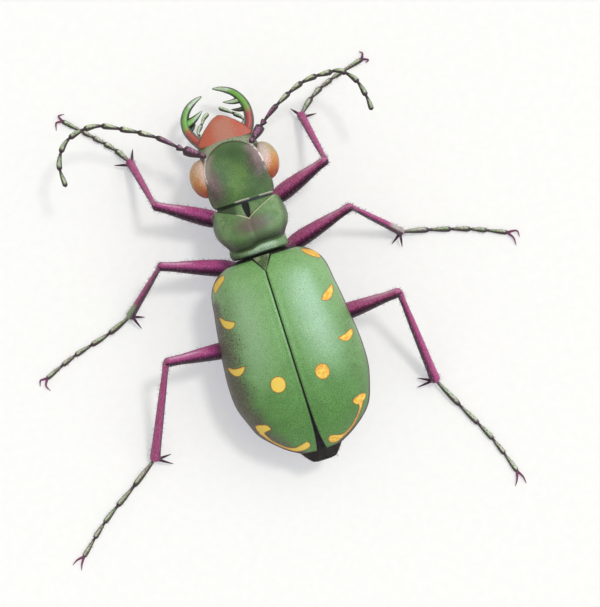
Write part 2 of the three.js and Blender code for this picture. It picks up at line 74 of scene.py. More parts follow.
view = {"over": (-0.947, 1.7), "height": 108.92, "lens": 150, "sensor": 36, "turn": 162.64, "clip": (0.005, 5)}
light = {
    "key": {"from": (-0.93, -0.5, 2.6), "strength": 0.72, "spread": 8, "tint": (1.0, 0.985, 0.96)},
    "soft": {"from": (-0.78, -0.1, 1.0), "strength": 1.0, "spread": 50, "tint": (0.85, 0.9, 1.6)},
    "fill": {"from": (-0.5, -0.2, 1.0), "strength": 1.0, "spread": 60, "tint": (1.02, 1.0, 0.36)},
    "casts": "key", "shines": "soft",  # the lamp that casts shadows, and the one that shows in the gloss
    "room": {"tint": (1.0, 1.0, 1.0), "strength": 0.36},
    "floor": {"reach": 900, "tint": (0.94, 0.935, 0.92), "darker": 0.975},
}


def setUpCamera():
    camera = addThing("camera", bpy.data.cameras.new("camera"))
    camera.data.lens, camera.data.sensor_width = view["lens"], view["sensor"]
    camera.data.clip_start, camera.data.clip_end = view["clip"]
    camera.location = world([*view["over"], view["height"]])
    camera.rotation_euler = (0, 0, np.radians(view["turn"]))
    bpy.context.scene.camera = camera


def setUpLight():
    for name in ("key", "soft", "fill"):
        want = light[name]
        lamp = bpy.data.lights.new(name, "SUN")
        lamp.energy, lamp.angle, lamp.color = want["strength"], np.radians(want["spread"]), want["tint"]
        lamp.use_shadow = name == light["casts"]
        thing = addThing(name, lamp)
        thing.visible_glossy = name == light["shines"]
        thing.rotation_mode = "QUATERNION"
        thing.rotation_quaternion = (-Vector(want["from"])).to_track_quat("-Z", "Y")  # it shines along its -z
    room = bpy.data.worlds.new("room")
    room.use_nodes = True
    sky = room.node_tree.nodes["Background"].inputs
    sky["Color"].default_value = (*light["room"]["tint"], 1)
    sky["Strength"].default_value = light["room"]["strength"]
    bpy.context.scene.world = room
    bpy.context.scene.view_settings.view_transform = "Standard"


setUpCamera()
setUpLight()
print("camera and light")


# Finishes: a Wire is a node's output that can be used in sums

class Wire:
    def __init__(self, finish, socket):
        self.finish, self.socket = finish, socket

    def sum(self, operation, *values):
        return self.finish.add("ShaderNodeMath", {"operation": operation}, dict(enumerate(values)))

    def __add__(self, other):
        return self.sum("ADD", self, other)

    def __sub__(self, other):
        return self.sum("SUBTRACT", self, other)

    def __rsub__(self, other):
        return self.sum("SUBTRACT", other, self)

    def __mul__(self, other):
        return self.sum("MULTIPLY", self, other)

    __radd__, __rmul__ = __add__, __mul__

    def most(self, other):
        return self.sum("MAXIMUM", self, other)

    def least(self, other):
        return self.sum("MINIMUM", self, other)

    def step(self, low, high):  # 0 up to low, 1 from high on, smooth between; it falls where low > high
        return self.finish.add("ShaderNodeMapRange", {"interpolation_type": "SMOOTHSTEP"},
                               {"Value": self, "From Min": low, "From Max": high})


class Finish:
    sockets = {"specular": "Specular IOR Level", "roughness": "Roughness", "metallic": "Metallic",
               "coat": "Coat Weight", "coatRoughness": "Coat Roughness", "normal": "Normal"}

    # settings hold the tints by name, the grain is in mm, and fixed values go on the shader itself
    def __init__(self, name, settings, grain=0.05, detail=1, **fixed):
        self.material = bpy.data.materials.new(name)
        self.material.use_nodes = True
        self.nodes, self.links = self.material.node_tree.nodes, self.material.node_tree.links
        self.shader = self.nodes["Principled BSDF"]
        for key, value in fixed.items():
            self.shader.inputs[self.sockets[key]].default_value = value
        self.settings = settings
        self.here = self.add("ShaderNodeTexCoord", out="Object")
        self.fine = self.noise(grain, detail)
        self.speck = self.fine - 0.5  # the same grain, to both sides of 0

    def add(self, kind, settings=None, values=None, out=0):
        node = self.nodes.new(kind)
        for key, value in (settings or {}).items():
            setattr(node, key, value)
        for key, value in (values or {}).items():
            self.put(value, node.inputs[key])
        return Wire(self, node.outputs[out])

    def put(self, value, socket):  # a wire, a number, a colour, or a colour's name in the settings
        value = self.settings[value] if isinstance(value, str) else value
        if isinstance(value, Wire):
            self.links.new(value.socket, socket)
        else:
            socket.default_value = (*value, 1) if socket.type == "RGBA" else value

    def __getitem__(self, name):  # a number that the piece's mesh carries
        return self.add("ShaderNodeAttribute", {"attribute_name": name}, out="Fac")

    def noise(self, size, detail, stretch=None):  # size in mm
        where = self.here
        if stretch:
            where = self.add("ShaderNodeVectorMath", {"operation": "MULTIPLY"}, {0: where, 1: stretch})
        return self.add("ShaderNodeTexNoise", {},
                        {"Vector": where, "Scale": 1 / (size * mm), "Detail": detail, "Roughness": 0.55})

    def cells(self, size):  # distance from the nearest of many scattered points
        return self.add("ShaderNodeTexVoronoi", {}, {"Vector": self.here, "Scale": 1 / (size * mm)})

    def mix(self, share, first, second):
        return self.add("ShaderNodeMix", {"data_type": "RGBA"}, {0: share, 6: first, 7: second}, out=2)

    def paint(self, share, tint):  # lays a tint over the colour so far
        self.colour = self.mix(share, self.colour, tint)

    def bump(self, height, depth):  # depth in mm
        return self.add("ShaderNodeBump", {}, {"Height": height, "Distance": depth * mm, "Strength": 1.0})

    def done(self, **varying):
        self.put(self.colour, self.shader.inputs["Base Color"])
        for key, value in varying.items():
            self.put(value, self.shader.inputs[self.sockets[key]])
        return self.material


def floorFinish():
    pale, darker = light["floor"]["tint"], light["floor"]["darker"]
    f = Finish("floor", light, 0.35, 3, roughness=0.9, specular=0.1)
    f.colour = f.mix(f.fine.step(0.2, 0.8), tuple(darker * part for part in pale), pale)
    return f.done()


# Shapes: a column of numbers stands for the rows of a grid

def through(pairs, at):
    # a smooth curve through [place, value] pairs: on each span the cubic whose ends have the
    # mean slope of the two spans that meet there, or none at a peak
    xs, ys = np.array(pairs, float).T
    steps = np.diff(ys) / np.diff(xs)
    slopes = np.concatenate([steps[:1], (steps[1:] + steps[:-1]) / 2, steps[-1:]])
    slopes[1:-1][steps[1:] * steps[:-1] <= 0] = 0
    i = np.clip(np.searchsorted(xs, at) - 1, 0, len(xs) - 2)
    wide = xs[i + 1] - xs[i]
    t = np.clip((at - xs[i]) / wide, 0, 1)
    return ((2 * t**3 - 3 * t**2 + 1) * ys[i] + (t**3 - 2 * t**2 + t) * wide * slopes[i]
            + (3 * t**2 - 2 * t**3) * ys[i + 1] + (t**3 - t**2) * wide * slopes[i + 1])


def lengthOf(places):
    return np.concatenate([[0], np.cumsum(np.linalg.norm(np.diff(places, axis=0), axis=1))])


def pathAt(places, shares):
    # the smooth curve through the places, at shares of its length
    places = np.array(places, float)
    gone = lengthOf(places)
    fine = np.linspace(0, gone[-1], 600)
    curve = np.stack([through(np.stack([gone, side], 1), fine) for side in places.T], 1)
    run = lengthOf(curve)
    at = np.interp(shares * run[-1], run, fine)
    return np.stack([np.interp(at, fine, side) for side in curve.T], 1)


def unit(vectors):
    return vectors / np.maximum(np.linalg.norm(vectors, axis=-1, keepdims=True), 1e-9)


def smooth(value, low, high):
    # 0 up to low, 1 from high on, and 3t² − 2t³ between them
    t = np.clip((value - low) / (high - low), 0, 1)
    return t * t * (3 - 2 * t)


def hill(value, middle, width, power=2):
    # 1 at the middle, falling off as exp(−(distance/width)^power)
    return np.exp(-((value - middle) / width) ** power)


def roundEnds(shares, start, end):
    # 1 along the middle, falling to nearly 0 over each end as a quarter of an ellipse does
    near, far = np.clip(shares / start, 0, 1), np.clip((1 - shares) / end, 0, 1)
    return np.maximum(np.sqrt(1 - (1 - near) ** 2) * np.sqrt(1 - (1 - far) ** 2), 0.012)


def closeSpaced(count, tight=0.8):
    # shares u − tight·sin(2πu)/2π from 0 to 1, which lie closer together at both ends
    u = np.linspace(0, 1, count)
    return u - tight * np.sin(2 * np.pi * u) / (2 * np.pi)


# painted light and shade for the limbs: lighter where they face this way, darker away from it, which is partly
# their own darker under side
bright = np.array([-0.22, -0.58, 0.78])  # limbs are brightest on the side that faces this way


def tube(places, shares, wide, high=None, columns=20):
    # a ring round each place of a path: wide·cos(a) aside and high·sin(a) over
    middle = pathAt(places, shares)
    high = wide if high is None else high
    ahead = unit(np.gradient(middle, axis=0))
    aside = unit(np.cross(ahead, [0.0, 0.0, 1.0]))
    over = np.cross(aside, ahead)
    a = 2 * np.pi * np.arange(columns) / columns
    cos, sin = np.cos(a)[:, None], np.sin(a)[:, None]
    ring = cos * (aside * wide[:, None])[:, None] + sin * (over * high[:, None])[:, None]
    out = cos * aside[:, None] + sin * over[:, None]
    # over: how far each point faces the way of bright, for the limbs' painted light and shade
    toward = unit(bright - (ahead @ bright)[:, None] * ahead)
    fields = {"share": shares[:, None], "over": np.einsum("rak,rk->ra", out, toward), "rise": np.sin(a)}
    return middle[:, None] + ring, fields


def spike(places, radius, power=0.7, least=0.006, rows=30, columns=12):
    # a cone along a curve: radius·(1 − share)^power
    t = closeSpaced(rows, 0.5)
    return tube(places, t, radius * (1 - t) ** power + least, columns=columns)


def sections(y, halfWidth, low, level, high, power, columns):
    # an upright ring at each y: across halfWidth·cos(a), and high or low of the level by sin(a),
    # both to the power of 2/power; a runs from the left side over the top
    a = 2 * np.pi * np.arange(columns) / columns
    rise = np.sign(np.sin(a)) * np.abs(np.sin(a)) ** (2 / power)
    across = np.sign(np.cos(a)) * np.abs(np.cos(a)) ** (2 / power)
    z = level + np.where(rise > 0, high - level, level - low) * rise
    return np.stack(np.broadcast_arrays(halfWidth * across, y, z), -1)


def bodyRows(c):
    return c["front"] + c["length"] * closeSpaced(c["rows"], c["tight"])[:, None]


def bodyRings(c, y, step=0.0):
    # sections whose height and, in part, width shrink to the round ends; a step draws them in
    start, end, power = c["ends"]
    ends = roundEnds((y - c["front"]) / c["closed"], start, end) ** power
    level, low, top = (through(c[key], y) for key in ("level", "low", "top"))
    wide = through(c["halfWidth"], y) * (1 - c["narrow"] + c["narrow"] * ends) - step * 0.7
    return sections(y, wide, level - (level - low) * ends + step, level, level + (top - level) * ends,
                    c["power"], c["columns"])


def plateRings(c, y, wide):
    # sections of a plate, one wall thick, that is widest a little below its top
    top = through(c["top"], y)
    return sections(y, wide, top - c["wall"], top - c["edge"], top, c["power"], c["columns"])


def facing(points):
    # the outward direction at each point of a closed ring grid, from its neighbours' places
    along = np.gradient(points, axis=0)
    around = np.roll(points, -1, 1) - np.roll(points, 1, 1)
    out = unit(np.cross(around, along))
    return out * np.sign(np.sum(out * (points - points.mean(1, keepdims=True))))


def closedFaces(points):
    # quads between rows, closed round, and each end zipped shut; turned to face outward
    rows, columns = points.shape[:2]
    r, c = np.meshgrid(np.arange(rows - 1), np.arange(columns), indexing="ij")
    d = (c + 1) % columns
    wall = np.stack([r * columns + c, r * columns + d, (r + 1) * columns + d, (r + 1) * columns + c], -1)
    i = np.arange(columns // 2 - 1)
    zipped = np.stack([columns - 1 - i, columns - 2 - i, i + 1, i], -1)
    faces = np.concatenate([wall.reshape(-1, 4), zipped, zipped[:, ::-1] + (rows - 1) * columns])
    v = points.reshape(-1, 3)[faces]
    halves = np.cross(v[:, 1], v[:, 2]) + np.cross(v[:, 2], v[:, 3])
    return faces if np.sum(v[:, 0] * halves) > 0 else faces[:, ::-1]


def makePiece(name, patches, finish, nodes):
    # patches are (grid of points, fields) pairs; a field is a number for each point, row or column
    spots = np.concatenate([grid.reshape(-1, 3) for grid, fields in patches])
    faces, start = [], 0
    for grid, fields in patches:
        faces.append(closedFaces(grid) + start)
        start += grid.size // 3
    mesh = bpy.data.meshes.new(name)
    mesh.from_pydata(world(spots).tolist(), [], np.concatenate(faces).tolist())
    mesh.shade_smooth()
    for key in sorted({key for grid, fields in patches for key in fields}):
        values = [np.broadcast_to(fields.get(key, 0.0), grid.shape[:2]).reshape(-1) for grid, fields in patches]
        attribute = mesh.attributes.new(key, "FLOAT", "POINT")
        attribute.data.foreach_set("value", np.concatenate(values).astype(np.float32))
    place(name, mesh, finish, nodes)


def place(name, mesh, finish, nodes):
    mesh.materials.append(finish)
    thing = addThing(name, mesh)
    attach(thing, "root")
    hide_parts(*nodes)


def makeFloor():
    reach = light["floor"]["reach"]
    mesh = bpy.data.meshes.new("floor")
    corners = [(-reach, -reach, 0), (reach, -reach, 0), (reach, reach, 0), (-reach, reach, 0)]
    mesh.from_pydata(world(corners).tolist(), [], [(0, 1, 2, 3)])
    mesh.materials.append(floorFinish())
    addThing("floor", mesh)


makeFloor()


# Wing cases

wingCase = {
    "front": -0.6, "length": 8.44, "rows": 230, "tight": 0.8, "across": 96, "power": 2.25, "wall": 0.13,
    "halfWidth": [[-0.6, 1.62], [-0.44, 1.93], [0, 2.36], [1.2, 2.64], [2.5, 2.82], [4.3, 2.97],
                  [5.2, 2.89], [6, 2.57], [6.7, 2.14], [7.3, 1.56], [7.65, 1.04], [7.78, 0.72], [7.84, 0.3]],
    "top": [[-0.6, 4.42], [0, 4.85], [2.4, 5.12], [4.6, 4.9], [6.4, 4.18], [7.3, 3.52], [7.7, 3.12],
            [7.84, 2.9]],
    "rim": [[-0.6, 3.2], [7.84, 2.75]],
    "seam": [[-0.02, 0.006], [3, 0.008], [4.6, 0.011], [5.8, 0.022], [6.6, 0.05], [7.2, 0.1], [7.84, 0.2]],
    "plate": {"halfWidth": 0.39, "length": 0.6},  # room for the scutellum
    "seamTurn": (0.05, 0.03), "furrow": (0.012, 0.26, 0.12),  # depth, place and width of dips along the seam
    "shoulder": {"high": 0.06, "x": (1.75, 0.4), "y": (0.25, 0.5)},
    "fold": [(0.0, 0.35), (-0.03, 0.9), (-0.12, 1.45), (-0.24, 1.6)],  # the rim goes inward, and down in walls
    # the rear flank's swelling: how much, where, spread; how dusky its flank and flank's edge are, partly the
    # coppery colour and partly painted shade, stronger on the left, away from the light; the right one is paler
    # and its marks warmer
    "left": {"swell": (0.08, 6.45, 0.45), "flank": 1.0, "edge": 0.95, "bloom": 0.38, "warm": 0.1, "sign": 1},
    "right": {"swell": (0.2, 6.65, 0.85), "flank": 0.25, "edge": 0, "bloom": 0.36, "warm": 1.0, "sign": -1},
    "deepGreen": (0.06, 0.19, 0.03), "green": (0.13, 0.35, 0.08), "paleGreen": (0.29, 0.54, 0.2),
    "pale": (0.5, 0.7, 0.5), "dusk": (0.1, 0.082, 0.06), "paintedSeamShade": (0.035, 0.045, 0.03),
    "margin": (0.06, 0.034, 0.024), "yellow": (0.93, 0.67, 0.12), "orange": (0.78, 0.33, 0.04),
    "markEdge": (0.25, 0.1, 0.02),
}

# The yellow marks of each wing case, as [x, y, radius] along their middles
marks = {
    "left": [
        [[1.76, -0.3, 0.05], [1.92, -0.19, 0.12], [2.12, -0.04, 0.12], [2.28, 0.2, 0.04]],
        [[2.4, 1.3, 0.03], [2.3, 1.52, 0.1], [2.14, 1.68, 0.16], [2.0, 1.7, 0.11], [1.87, 1.65, 0.02]],
        [[2.68, 3.4, 0.03], [2.55, 3.57, 0.1], [2.36, 3.66, 0.15], [2.2, 3.62, 0.11], [2.03, 3.52, 0.02]],
        [[0.9, 4.6, 0.3], [0.91, 4.65, 0.3]],
        [[2.3, 6.08, 0.06], [2.13, 6.22, 0.17], [1.96, 6.23, 0.13], [1.82, 6.3, 0.05]],
        [[2.2, 6.35, 0.09], [2.12, 6.5, 0.06], [1.94, 6.78, 0.038], [1.64, 7.1, 0.036], [1.3, 7.36, 0.045],
         [0.96, 7.49, 0.09], [0.68, 7.47, 0.13], [0.54, 7.43, 0.13]],
    ],
    "right": [
        [[1.72, -0.4, 0.04], [1.9, -0.27, 0.11], [2.12, -0.12, 0.12], [2.3, 0.07, 0.04]],
        [[2.42, 1.36, 0.03], [2.31, 1.55, 0.11], [2.14, 1.71, 0.16], [2.0, 1.78, 0.1], [1.87, 1.8, 0.02]],
        [[2.68, 3.36, 0.03], [2.54, 3.5, 0.12], [2.36, 3.6, 0.14], [2.2, 3.58, 0.08], [2.06, 3.52, 0.02]],
        [[0.99, 4.61, 0.28], [1.0, 4.67, 0.28]],
        [[2.38, 6.12, 0.05], [2.2, 6.2, 0.15], [2.04, 6.26, 0.15], [1.92, 6.24, 0.08]],
        [[2.14, 6.36, 0.09], [2.05, 6.6, 0.04], [1.76, 6.98, 0.03], [1.4, 7.3, 0.032], [1.0, 7.49, 0.05],
         [0.7, 7.52, 0.14], [0.56, 7.5, 0.16]],
    ],
}


def markDistance(x, y, side):
    # how far each point lies outside the nearest mark's edge; less than 0 within one
    nearest = np.full(x.shape, 9.0)
    for mark in marks[side]:
        for mx, my, radius in pathAt(mark, np.linspace(0, 1, 28)):
            nearest = np.minimum(nearest, np.hypot(x - mx, y - my) - radius)
    return nearest


def wingCasePatch(side):
    # outer face: from the seam to the rim on a superellipse, width·cos(a)^(2/power) across and
    # (top − rim)·sin(a)^(2/power) over the rim; then round the rim, and back underneath one wall lower
    c, own = wingCase, wingCase[side]
    y = bodyRows(c)
    much, where, spread = own["swell"]
    wide = through(c["halfWidth"], y) + much * hill(y, where, spread)
    rim, top = through(c["rim"], y), through(c["top"], y)
    gone = (y - c["front"]) / c["plate"]["length"]
    seam = np.maximum(through(c["seam"], y), c["plate"]["halfWidth"] * (1 - gone))
    angle = np.arccos((seam / wide) ** (c["power"] / 2)) * np.linspace(1, 0, c["across"])
    x = wide * np.cos(angle) ** (2 / c["power"])
    z = rim + (top - rim) * np.sin(angle) ** (2 / c["power"])
    depth, width = c["seamTurn"]
    z -= depth * hill(x, seam, width)
    depth, where, width = c["furrow"]
    z -= depth * smooth(y, 0.1, 1.5) * hill(x, where, width)
    z += c["shoulder"]["high"] * hill(x, *c["shoulder"]["x"]) * hill(y, *c["shoulder"]["y"])
    ends = roundEnds((y - c["front"]) / c["length"], 0.02, 0.02)
    wall = c["wall"] * ends
    outer = np.stack(np.broadcast_arrays(x, y, z - c["wall"] + wall), -1)
    inner = outer[:, ::-1].copy()
    inner[..., 2] -= wall
    inner[..., 0] = np.minimum(inner[..., 0], wide - 2.2 * wall)
    fold = [np.stack([wide + inward * ends, y, rim - down * wall], -1) for inward, down in c["fold"]]
    points = np.concatenate([outer, *fold, inner[:, 2:]], 1)
    px, py, pz = points[..., 0], points[..., 1], points[..., 2]
    share, edge = px / wide, own["edge"]
    mark = markDistance(px, py, side)
    mark[:, c["across"] + 1:] = 9  # none under the rim
    fields = {
        "mark": mark, "warm": own["warm"], "fromSeam": px - seam, "back": smooth(py, 1.0, 8.0),
        "fromRim": wide - px + 0.9 * (pz - rim).clip(0, 1),
        "flank": np.maximum(smooth(share, 0.5, 0.98) * smooth(py, -1.3, 3.2) * own["flank"],
                            smooth(share, 0.8, 0.93) * smooth(py, 0.2, 0.9) * edge),
        "bloom": own["bloom"] * hill(px, 1.25 + 0.06 * py, 0.75) * smooth(py, -0.7, 1.2) * smooth(py, 5.6, 2.6),
    }
    px *= own["sign"]
    return points, fields


def wingCaseFinish():
    f = Finish("wing case", wingCase, specular=0.5, coatRoughness=0.44)
    fine, speck, cloud = f.fine, f.speck, f.noise(0.8, 3)
    back, bloom = f["back"], f["bloom"]
    f.colour = f.mix(fine.step(0.35, 0.68), "green", "paleGreen")
    # deeper green toward the rear, in part painted shade on the sloping rear
    rear = f.mix(fine.step(0.38, 0.66), "deepGreen", "green")
    f.paint((back * 0.7 + cloud * 0.5 - 0.12).step(0, 0.9), rear)
    # pale over the middle of each case: a painted highlight
    f.paint((bloom + speck * 0.9 * bloom).least(1), "pale")
    # dusky flank: coppery colour with painted shade, stronger on the left case
    dusky = (f["flank"] * 1.1 + speck * 3.0 + (cloud - 0.5) * 0.5 - 0.1).step(0.05, 0.85)
    f.paint(dusky, "dusk")
    margin = (f["fromRim"] + speck * 0.5).step(0.62, 0.3)
    f.paint(margin, "margin")
    # dark along the seam: painted shade in the gap between the cases
    f.paint((f["fromSeam"] + speck * 0.03).step(0.045, 0.01), "paintedSeamShade")
    mark = f["mark"] + speck * 0.03
    f.paint(mark.step(0.035, 0.012), "markEdge")
    mottled = f.mix((f.noise(0.2, 1) + speck * 0.5).step(0.3, 0.62) * 0.75, "yellow", "orange")
    yellow = f.mix(f["warm"], "yellow", mottled)
    inMark = mark.step(0.012, -0.008)
    f.paint(inMark, f.mix(mark.step(-0.035, 0.01), yellow, "orange"))
    dull = margin.most(inMark).most(dusky * 0.75).most(back * 0.55)
    pits = f.cells(0.085).step(0.0, 0.5)
    return f.done(roughness=0.38 + speck * 0.12 + dull * 0.25, coat=0.9 - dull * 0.9,
                  metallic=0.15 - dull * 0.15, normal=f.bump(pits * 0.7 + fine * 0.5, 0.008))


caseFinish = wingCaseFinish()
for side in ("left", "right"):
    makePiece("wing_case_" + side, [wingCasePatch(side)], caseFinish, ["elytron_" + side])
print("wing cases")


# Scutellum

scutellum = {
    "front": -0.66, "length": 0.66, "rows": 40, "tight": 0.8, "columns": 48, "power": 3.4,
    "halfWidth": 0.36, "taper": 0.85, "top": [[-0.66, 4.4], [0, 4.8]], "wall": 0.3, "edge": 0.1,
    "deep": (0.075, 0.12, 0.045), "pale": (0.25, 0.32, 0.17),
}


def scutellumPatch():
    # a plate whose half width falls to a point as (1 − share)^taper
    c = scutellum
    y = bodyRows(c)
    left = (1 - (y - c["front"]) / c["length"]).clip(0, 1)
    return plateRings(c, y, np.maximum(c["halfWidth"] * left ** c["taper"], 0.015)), {}


def scutellumFinish():
    f = Finish("scutellum", scutellum, metallic=0.25, specular=0.5)
    f.colour = f.mix((f.fine + f.noise(0.5, 2) - 0.5).step(0.35, 0.7), "deep", "pale")
    pits = f.cells(0.085).step(0.0, 0.5)
    return f.done(roughness=0.4 + f.speck * 0.15, normal=f.bump(pits + f.fine * 0.6, 0.008))


makePiece("scutellum_plate", [scutellumPatch()], scutellumFinish(), ["scutellum"])


# Prothorax

prothorax = {
    "front": -3.0, "length": 2.22, "rows": 170, "tight": 0.7, "columns": 220, "power": 2.35,
    "closed": 2.22, "ends": (0.03, 0.03, 0.5), "narrow": 0.2,
    "halfWidth": [[-3.0, 1.3], [-2.9, 1.42], [-2.6, 1.52], [-2.18, 1.59], [-1.76, 1.5], [-1.42, 1.28],
                  [-1.28, 1.21], [-1.08, 1.25], [-0.86, 1.2], [-0.78, 1.12]],
    "top": [[-3.0, 4.14], [-2.72, 4.32], [-2.1, 4.55], [-1.5, 4.46], [-1.17, 4.32], [-0.98, 4.32],
            [-0.78, 4.18]],
    "low": [[-3.0, 2.15], [-1.9, 1.9], [-0.78, 2.05]],
    "level": [[-3.0, 3.2], [-0.78, 3.2]],
    "lobes": (-2.29, 0.56, 0.8),  # the back's front edge, a wide V: y at its tip, reach, power
    "hind": [[-1.4, -1.36], [-1.0, -1.24], [-0.1, -1.2], [0.4, -1.08], [0.86, -1.1], [1.4, -1.36]],
    "notch": {"y": (-2.66, 0.35), "wide": 0.19, "taper": 0.1},
    "sink": {"ahead": 0.1, "hind": 0.13, "middle": 0.035, "notch": 0.1},  # how deep the furrows are
    "green": (0.11, 0.22, 0.07), "paleGreen": (0.25, 0.39, 0.18), "deep": (0.035, 0.045, 0.025),
    "dusk": (0.15, 0.105, 0.09), "pale": (0.7, 0.66, 0.46), "black": (0.012, 0.012, 0.012),
    "sheen": (0.42, 0.56, 0.42),
}


def prothoraxPatch():
    # body rings, with furrows sunk into the back: depth·exp(−(distance/width)²)
    c, sink = prothorax, prothorax["sink"]
    points = bodyRings(c, bodyRows(c))
    x, y, z = points[..., 0], points[..., 1], points[..., 2]
    above = smooth(z, 3.3, 3.9)
    tip, reach, power = c["lobes"]
    ahead = tip - reach * np.abs(x) ** power - y
    hind = y - through(c["hind"], x)  # behind the furrow that sets off the hind rim
    notchWide = c["notch"]["wide"] - c["notch"]["taper"] * np.clip((y + 2.98) / 0.62, 0, 1)
    notchAt, notchLong = c["notch"]["y"]
    notch = ((x / notchWide) ** 4 + ((y - notchAt) / notchLong) ** 4) ** 0.25
    middle = hill(x, 0, 0.05) * smooth(y, -2.3, -1.9) * smooth(y, -1.3, -1.6)
    z -= above * (sink["ahead"] * smooth(ahead, -0.03, 0.05) + sink["hind"] * hill(hind, 0, 0.075)
                  + sink["middle"] * middle + sink["notch"] * hill(notch, 0, 1, 4))
    fields = {
        "ahead": ahead, "above": above, "notch": notch, "hind": hind, "aside": x,
        "dusk": hill(x, -0.05, 0.85) * hill(y, -2.02, 0.46), "side": smooth(np.abs(x), 1.25, 1.58),
    }
    return points, fields


def prothoraxFinish():
    f = Finish("prothorax", prothorax, 0.045, specular=0.5, coat=0.1, coatRoughness=0.3, metallic=0.12)
    fine, speck, cloud = f.fine, f.speck, f.noise(0.6, 3)
    above, ahead, hind, aside, side = f["above"], f["ahead"], f["hind"], f["aside"], f["side"]
    f.colour = f.mix((fine * 1.3 + cloud - 0.7).step(0.25, 0.72), "green", "paleGreen")
    f.paint((f["dusk"] * 1.1 + speck * 2.0).step(0.25, 0.95) * above * 0.9, "dusk")
    # deep just ahead of the hind furrow: painted shade in the groove
    f.paint(hind.step(-0.6, -0.1) * hind.step(0.1, 0.0) * (0.7 + cloud * 0.4).least(1), "deep")
    band = hind.step(0.06, 0.14) * hind.step(0.46, 0.32)  # the hind rim
    shine = (aside + speck * 1.6).step(0.75, 0.1) * aside.step(-0.95, -0.45)
    # sheen on the hind rim: a painted highlight, speckled, toward its middle and right
    f.paint(band * fine.step(0.25, 0.65) * 0.2 * above, "sheen")
    f.paint(band * shine * (fine + cloud * 0.5).step(0.45, 0.85) * above, "sheen")
    f.paint(side * 0.75, "deep")
    # the hind rim's left end darker: painted shade on the side away from the light
    f.paint(aside.step(0.35, 1.0) * hind.step(-0.02, 0.05) * 0.5, "deep")  # the rim's left end
    f.paint(ahead.step(0.0, 0.06) * 0.2 * above, "deep")
    inner = (aside + (cloud - 0.5) * 0.3).step(0.55, 0.3)  # the pale V is drawn up to here
    f.paint(ahead.step(-0.07, 0.0) * (1 - inner) * above * 0.75, "deep")
    line = ahead.step(-0.055, -0.03) * ahead.step(0.012, -0.008) * above
    f.paint(line * inner * (1 - side) * 0.85, "pale")
    # black in the sunk notch: painted shade in its hollow
    f.paint(f["notch"].step(1.05, 0.85) * above, "black")
    wrinkles = f.noise(0.07, 2, (1, 0.45, 1)) + f.cells(0.09).step(0, 0.5) * 0.5
    return f.done(roughness=0.46 + speck * 0.15 + band * 0.35, normal=f.bump(wrinkles, 0.01))


prothoraxShell = prothoraxPatch()
makePiece("prothorax_shell", [prothoraxShell], prothoraxFinish(), ["prothorax"])
print("prothorax and scutellum")


# Head, eyes and neck

head = {
    "front": -6.0, "length": 2.98, "rows": 190, "tight": 0.7, "columns": 240, "power": 2.5,
    "closed": 2.98, "ends": (0.09, 0.03, 0.7), "narrow": 0.25,
    "halfWidth": [[-6.0, 1.05], [-5.85, 1.2], [-5.45, 1.25], [-5.15, 1.29], [-4.8, 1.4], [-4.4, 1.46],
                  [-4.0, 1.44], [-3.6, 1.4], [-3.2, 1.33], [-3.02, 1.2]],
    "brow": [[-6.0, 0.9], [-5.3, 1.0], [-5.15, 1.08], [-4.8, 1.24], [-4.5, 1.31], [-4.0, 1.31], [-3.65, 1.38]],
    "top": [[-6.0, 3.28], [-5.75, 3.42], [-5.45, 3.72], [-5.0, 4.0], [-4.4, 4.13], [-3.6, 4.2], [-3.02, 4.05]],
    "low": [[-6.0, 1.62], [-5.8, 1.42], [-5.4, 1.4], [-4.4, 1.8], [-3.02, 2.15]],
    "level": [[-6.0, 2.5], [-4.8, 2.9], [-3.02, 3.2]],
    "forehead": (-5.62, 0.36, 0.85, 2.2),  # its curved front edge: y at the middle, how far back at x, power
    "lift": {"edge": -0.09, "line": -0.06, "ridge": 0.5, "furrow": -0.02, "dent": -0.07},
    "green": (0.07, 0.145, 0.045), "bright": (0.13, 0.25, 0.06), "grey": (0.38, 0.4, 0.28),
    "dusk": (0.22, 0.165, 0.155), "duskDeep": (0.1, 0.068, 0.062), "deep": (0.03, 0.05, 0.025),
    "pale": (0.88, 0.8, 0.74), "dusty": (0.55, 0.4, 0.4), "black": (0.015, 0.02, 0.015),
}
eye = {
    "at": (1.3, -4.44, 3.38), "radii": (0.62, 0.82, 0.7), "inner": 0.25, "rows": 90, "columns": 120,
    "facet": 0.036, "amber": (0.6, 0.22, 0.03), "paleAmber": (0.78, 0.4, 0.1), "red": (0.42, 0.06, 0.012),
    "olive": (0.45, 0.4, 0.19), "pink": (0.76, 0.64, 0.62), "brown": (0.2, 0.05, 0.01),
    "edge": (0.2, 0.07, 0.02),
}
neck = {"path": [[0, -3.25, 3.2], [0, -2.75, 3.2]], "wide": 1.2, "tall": 0.72}


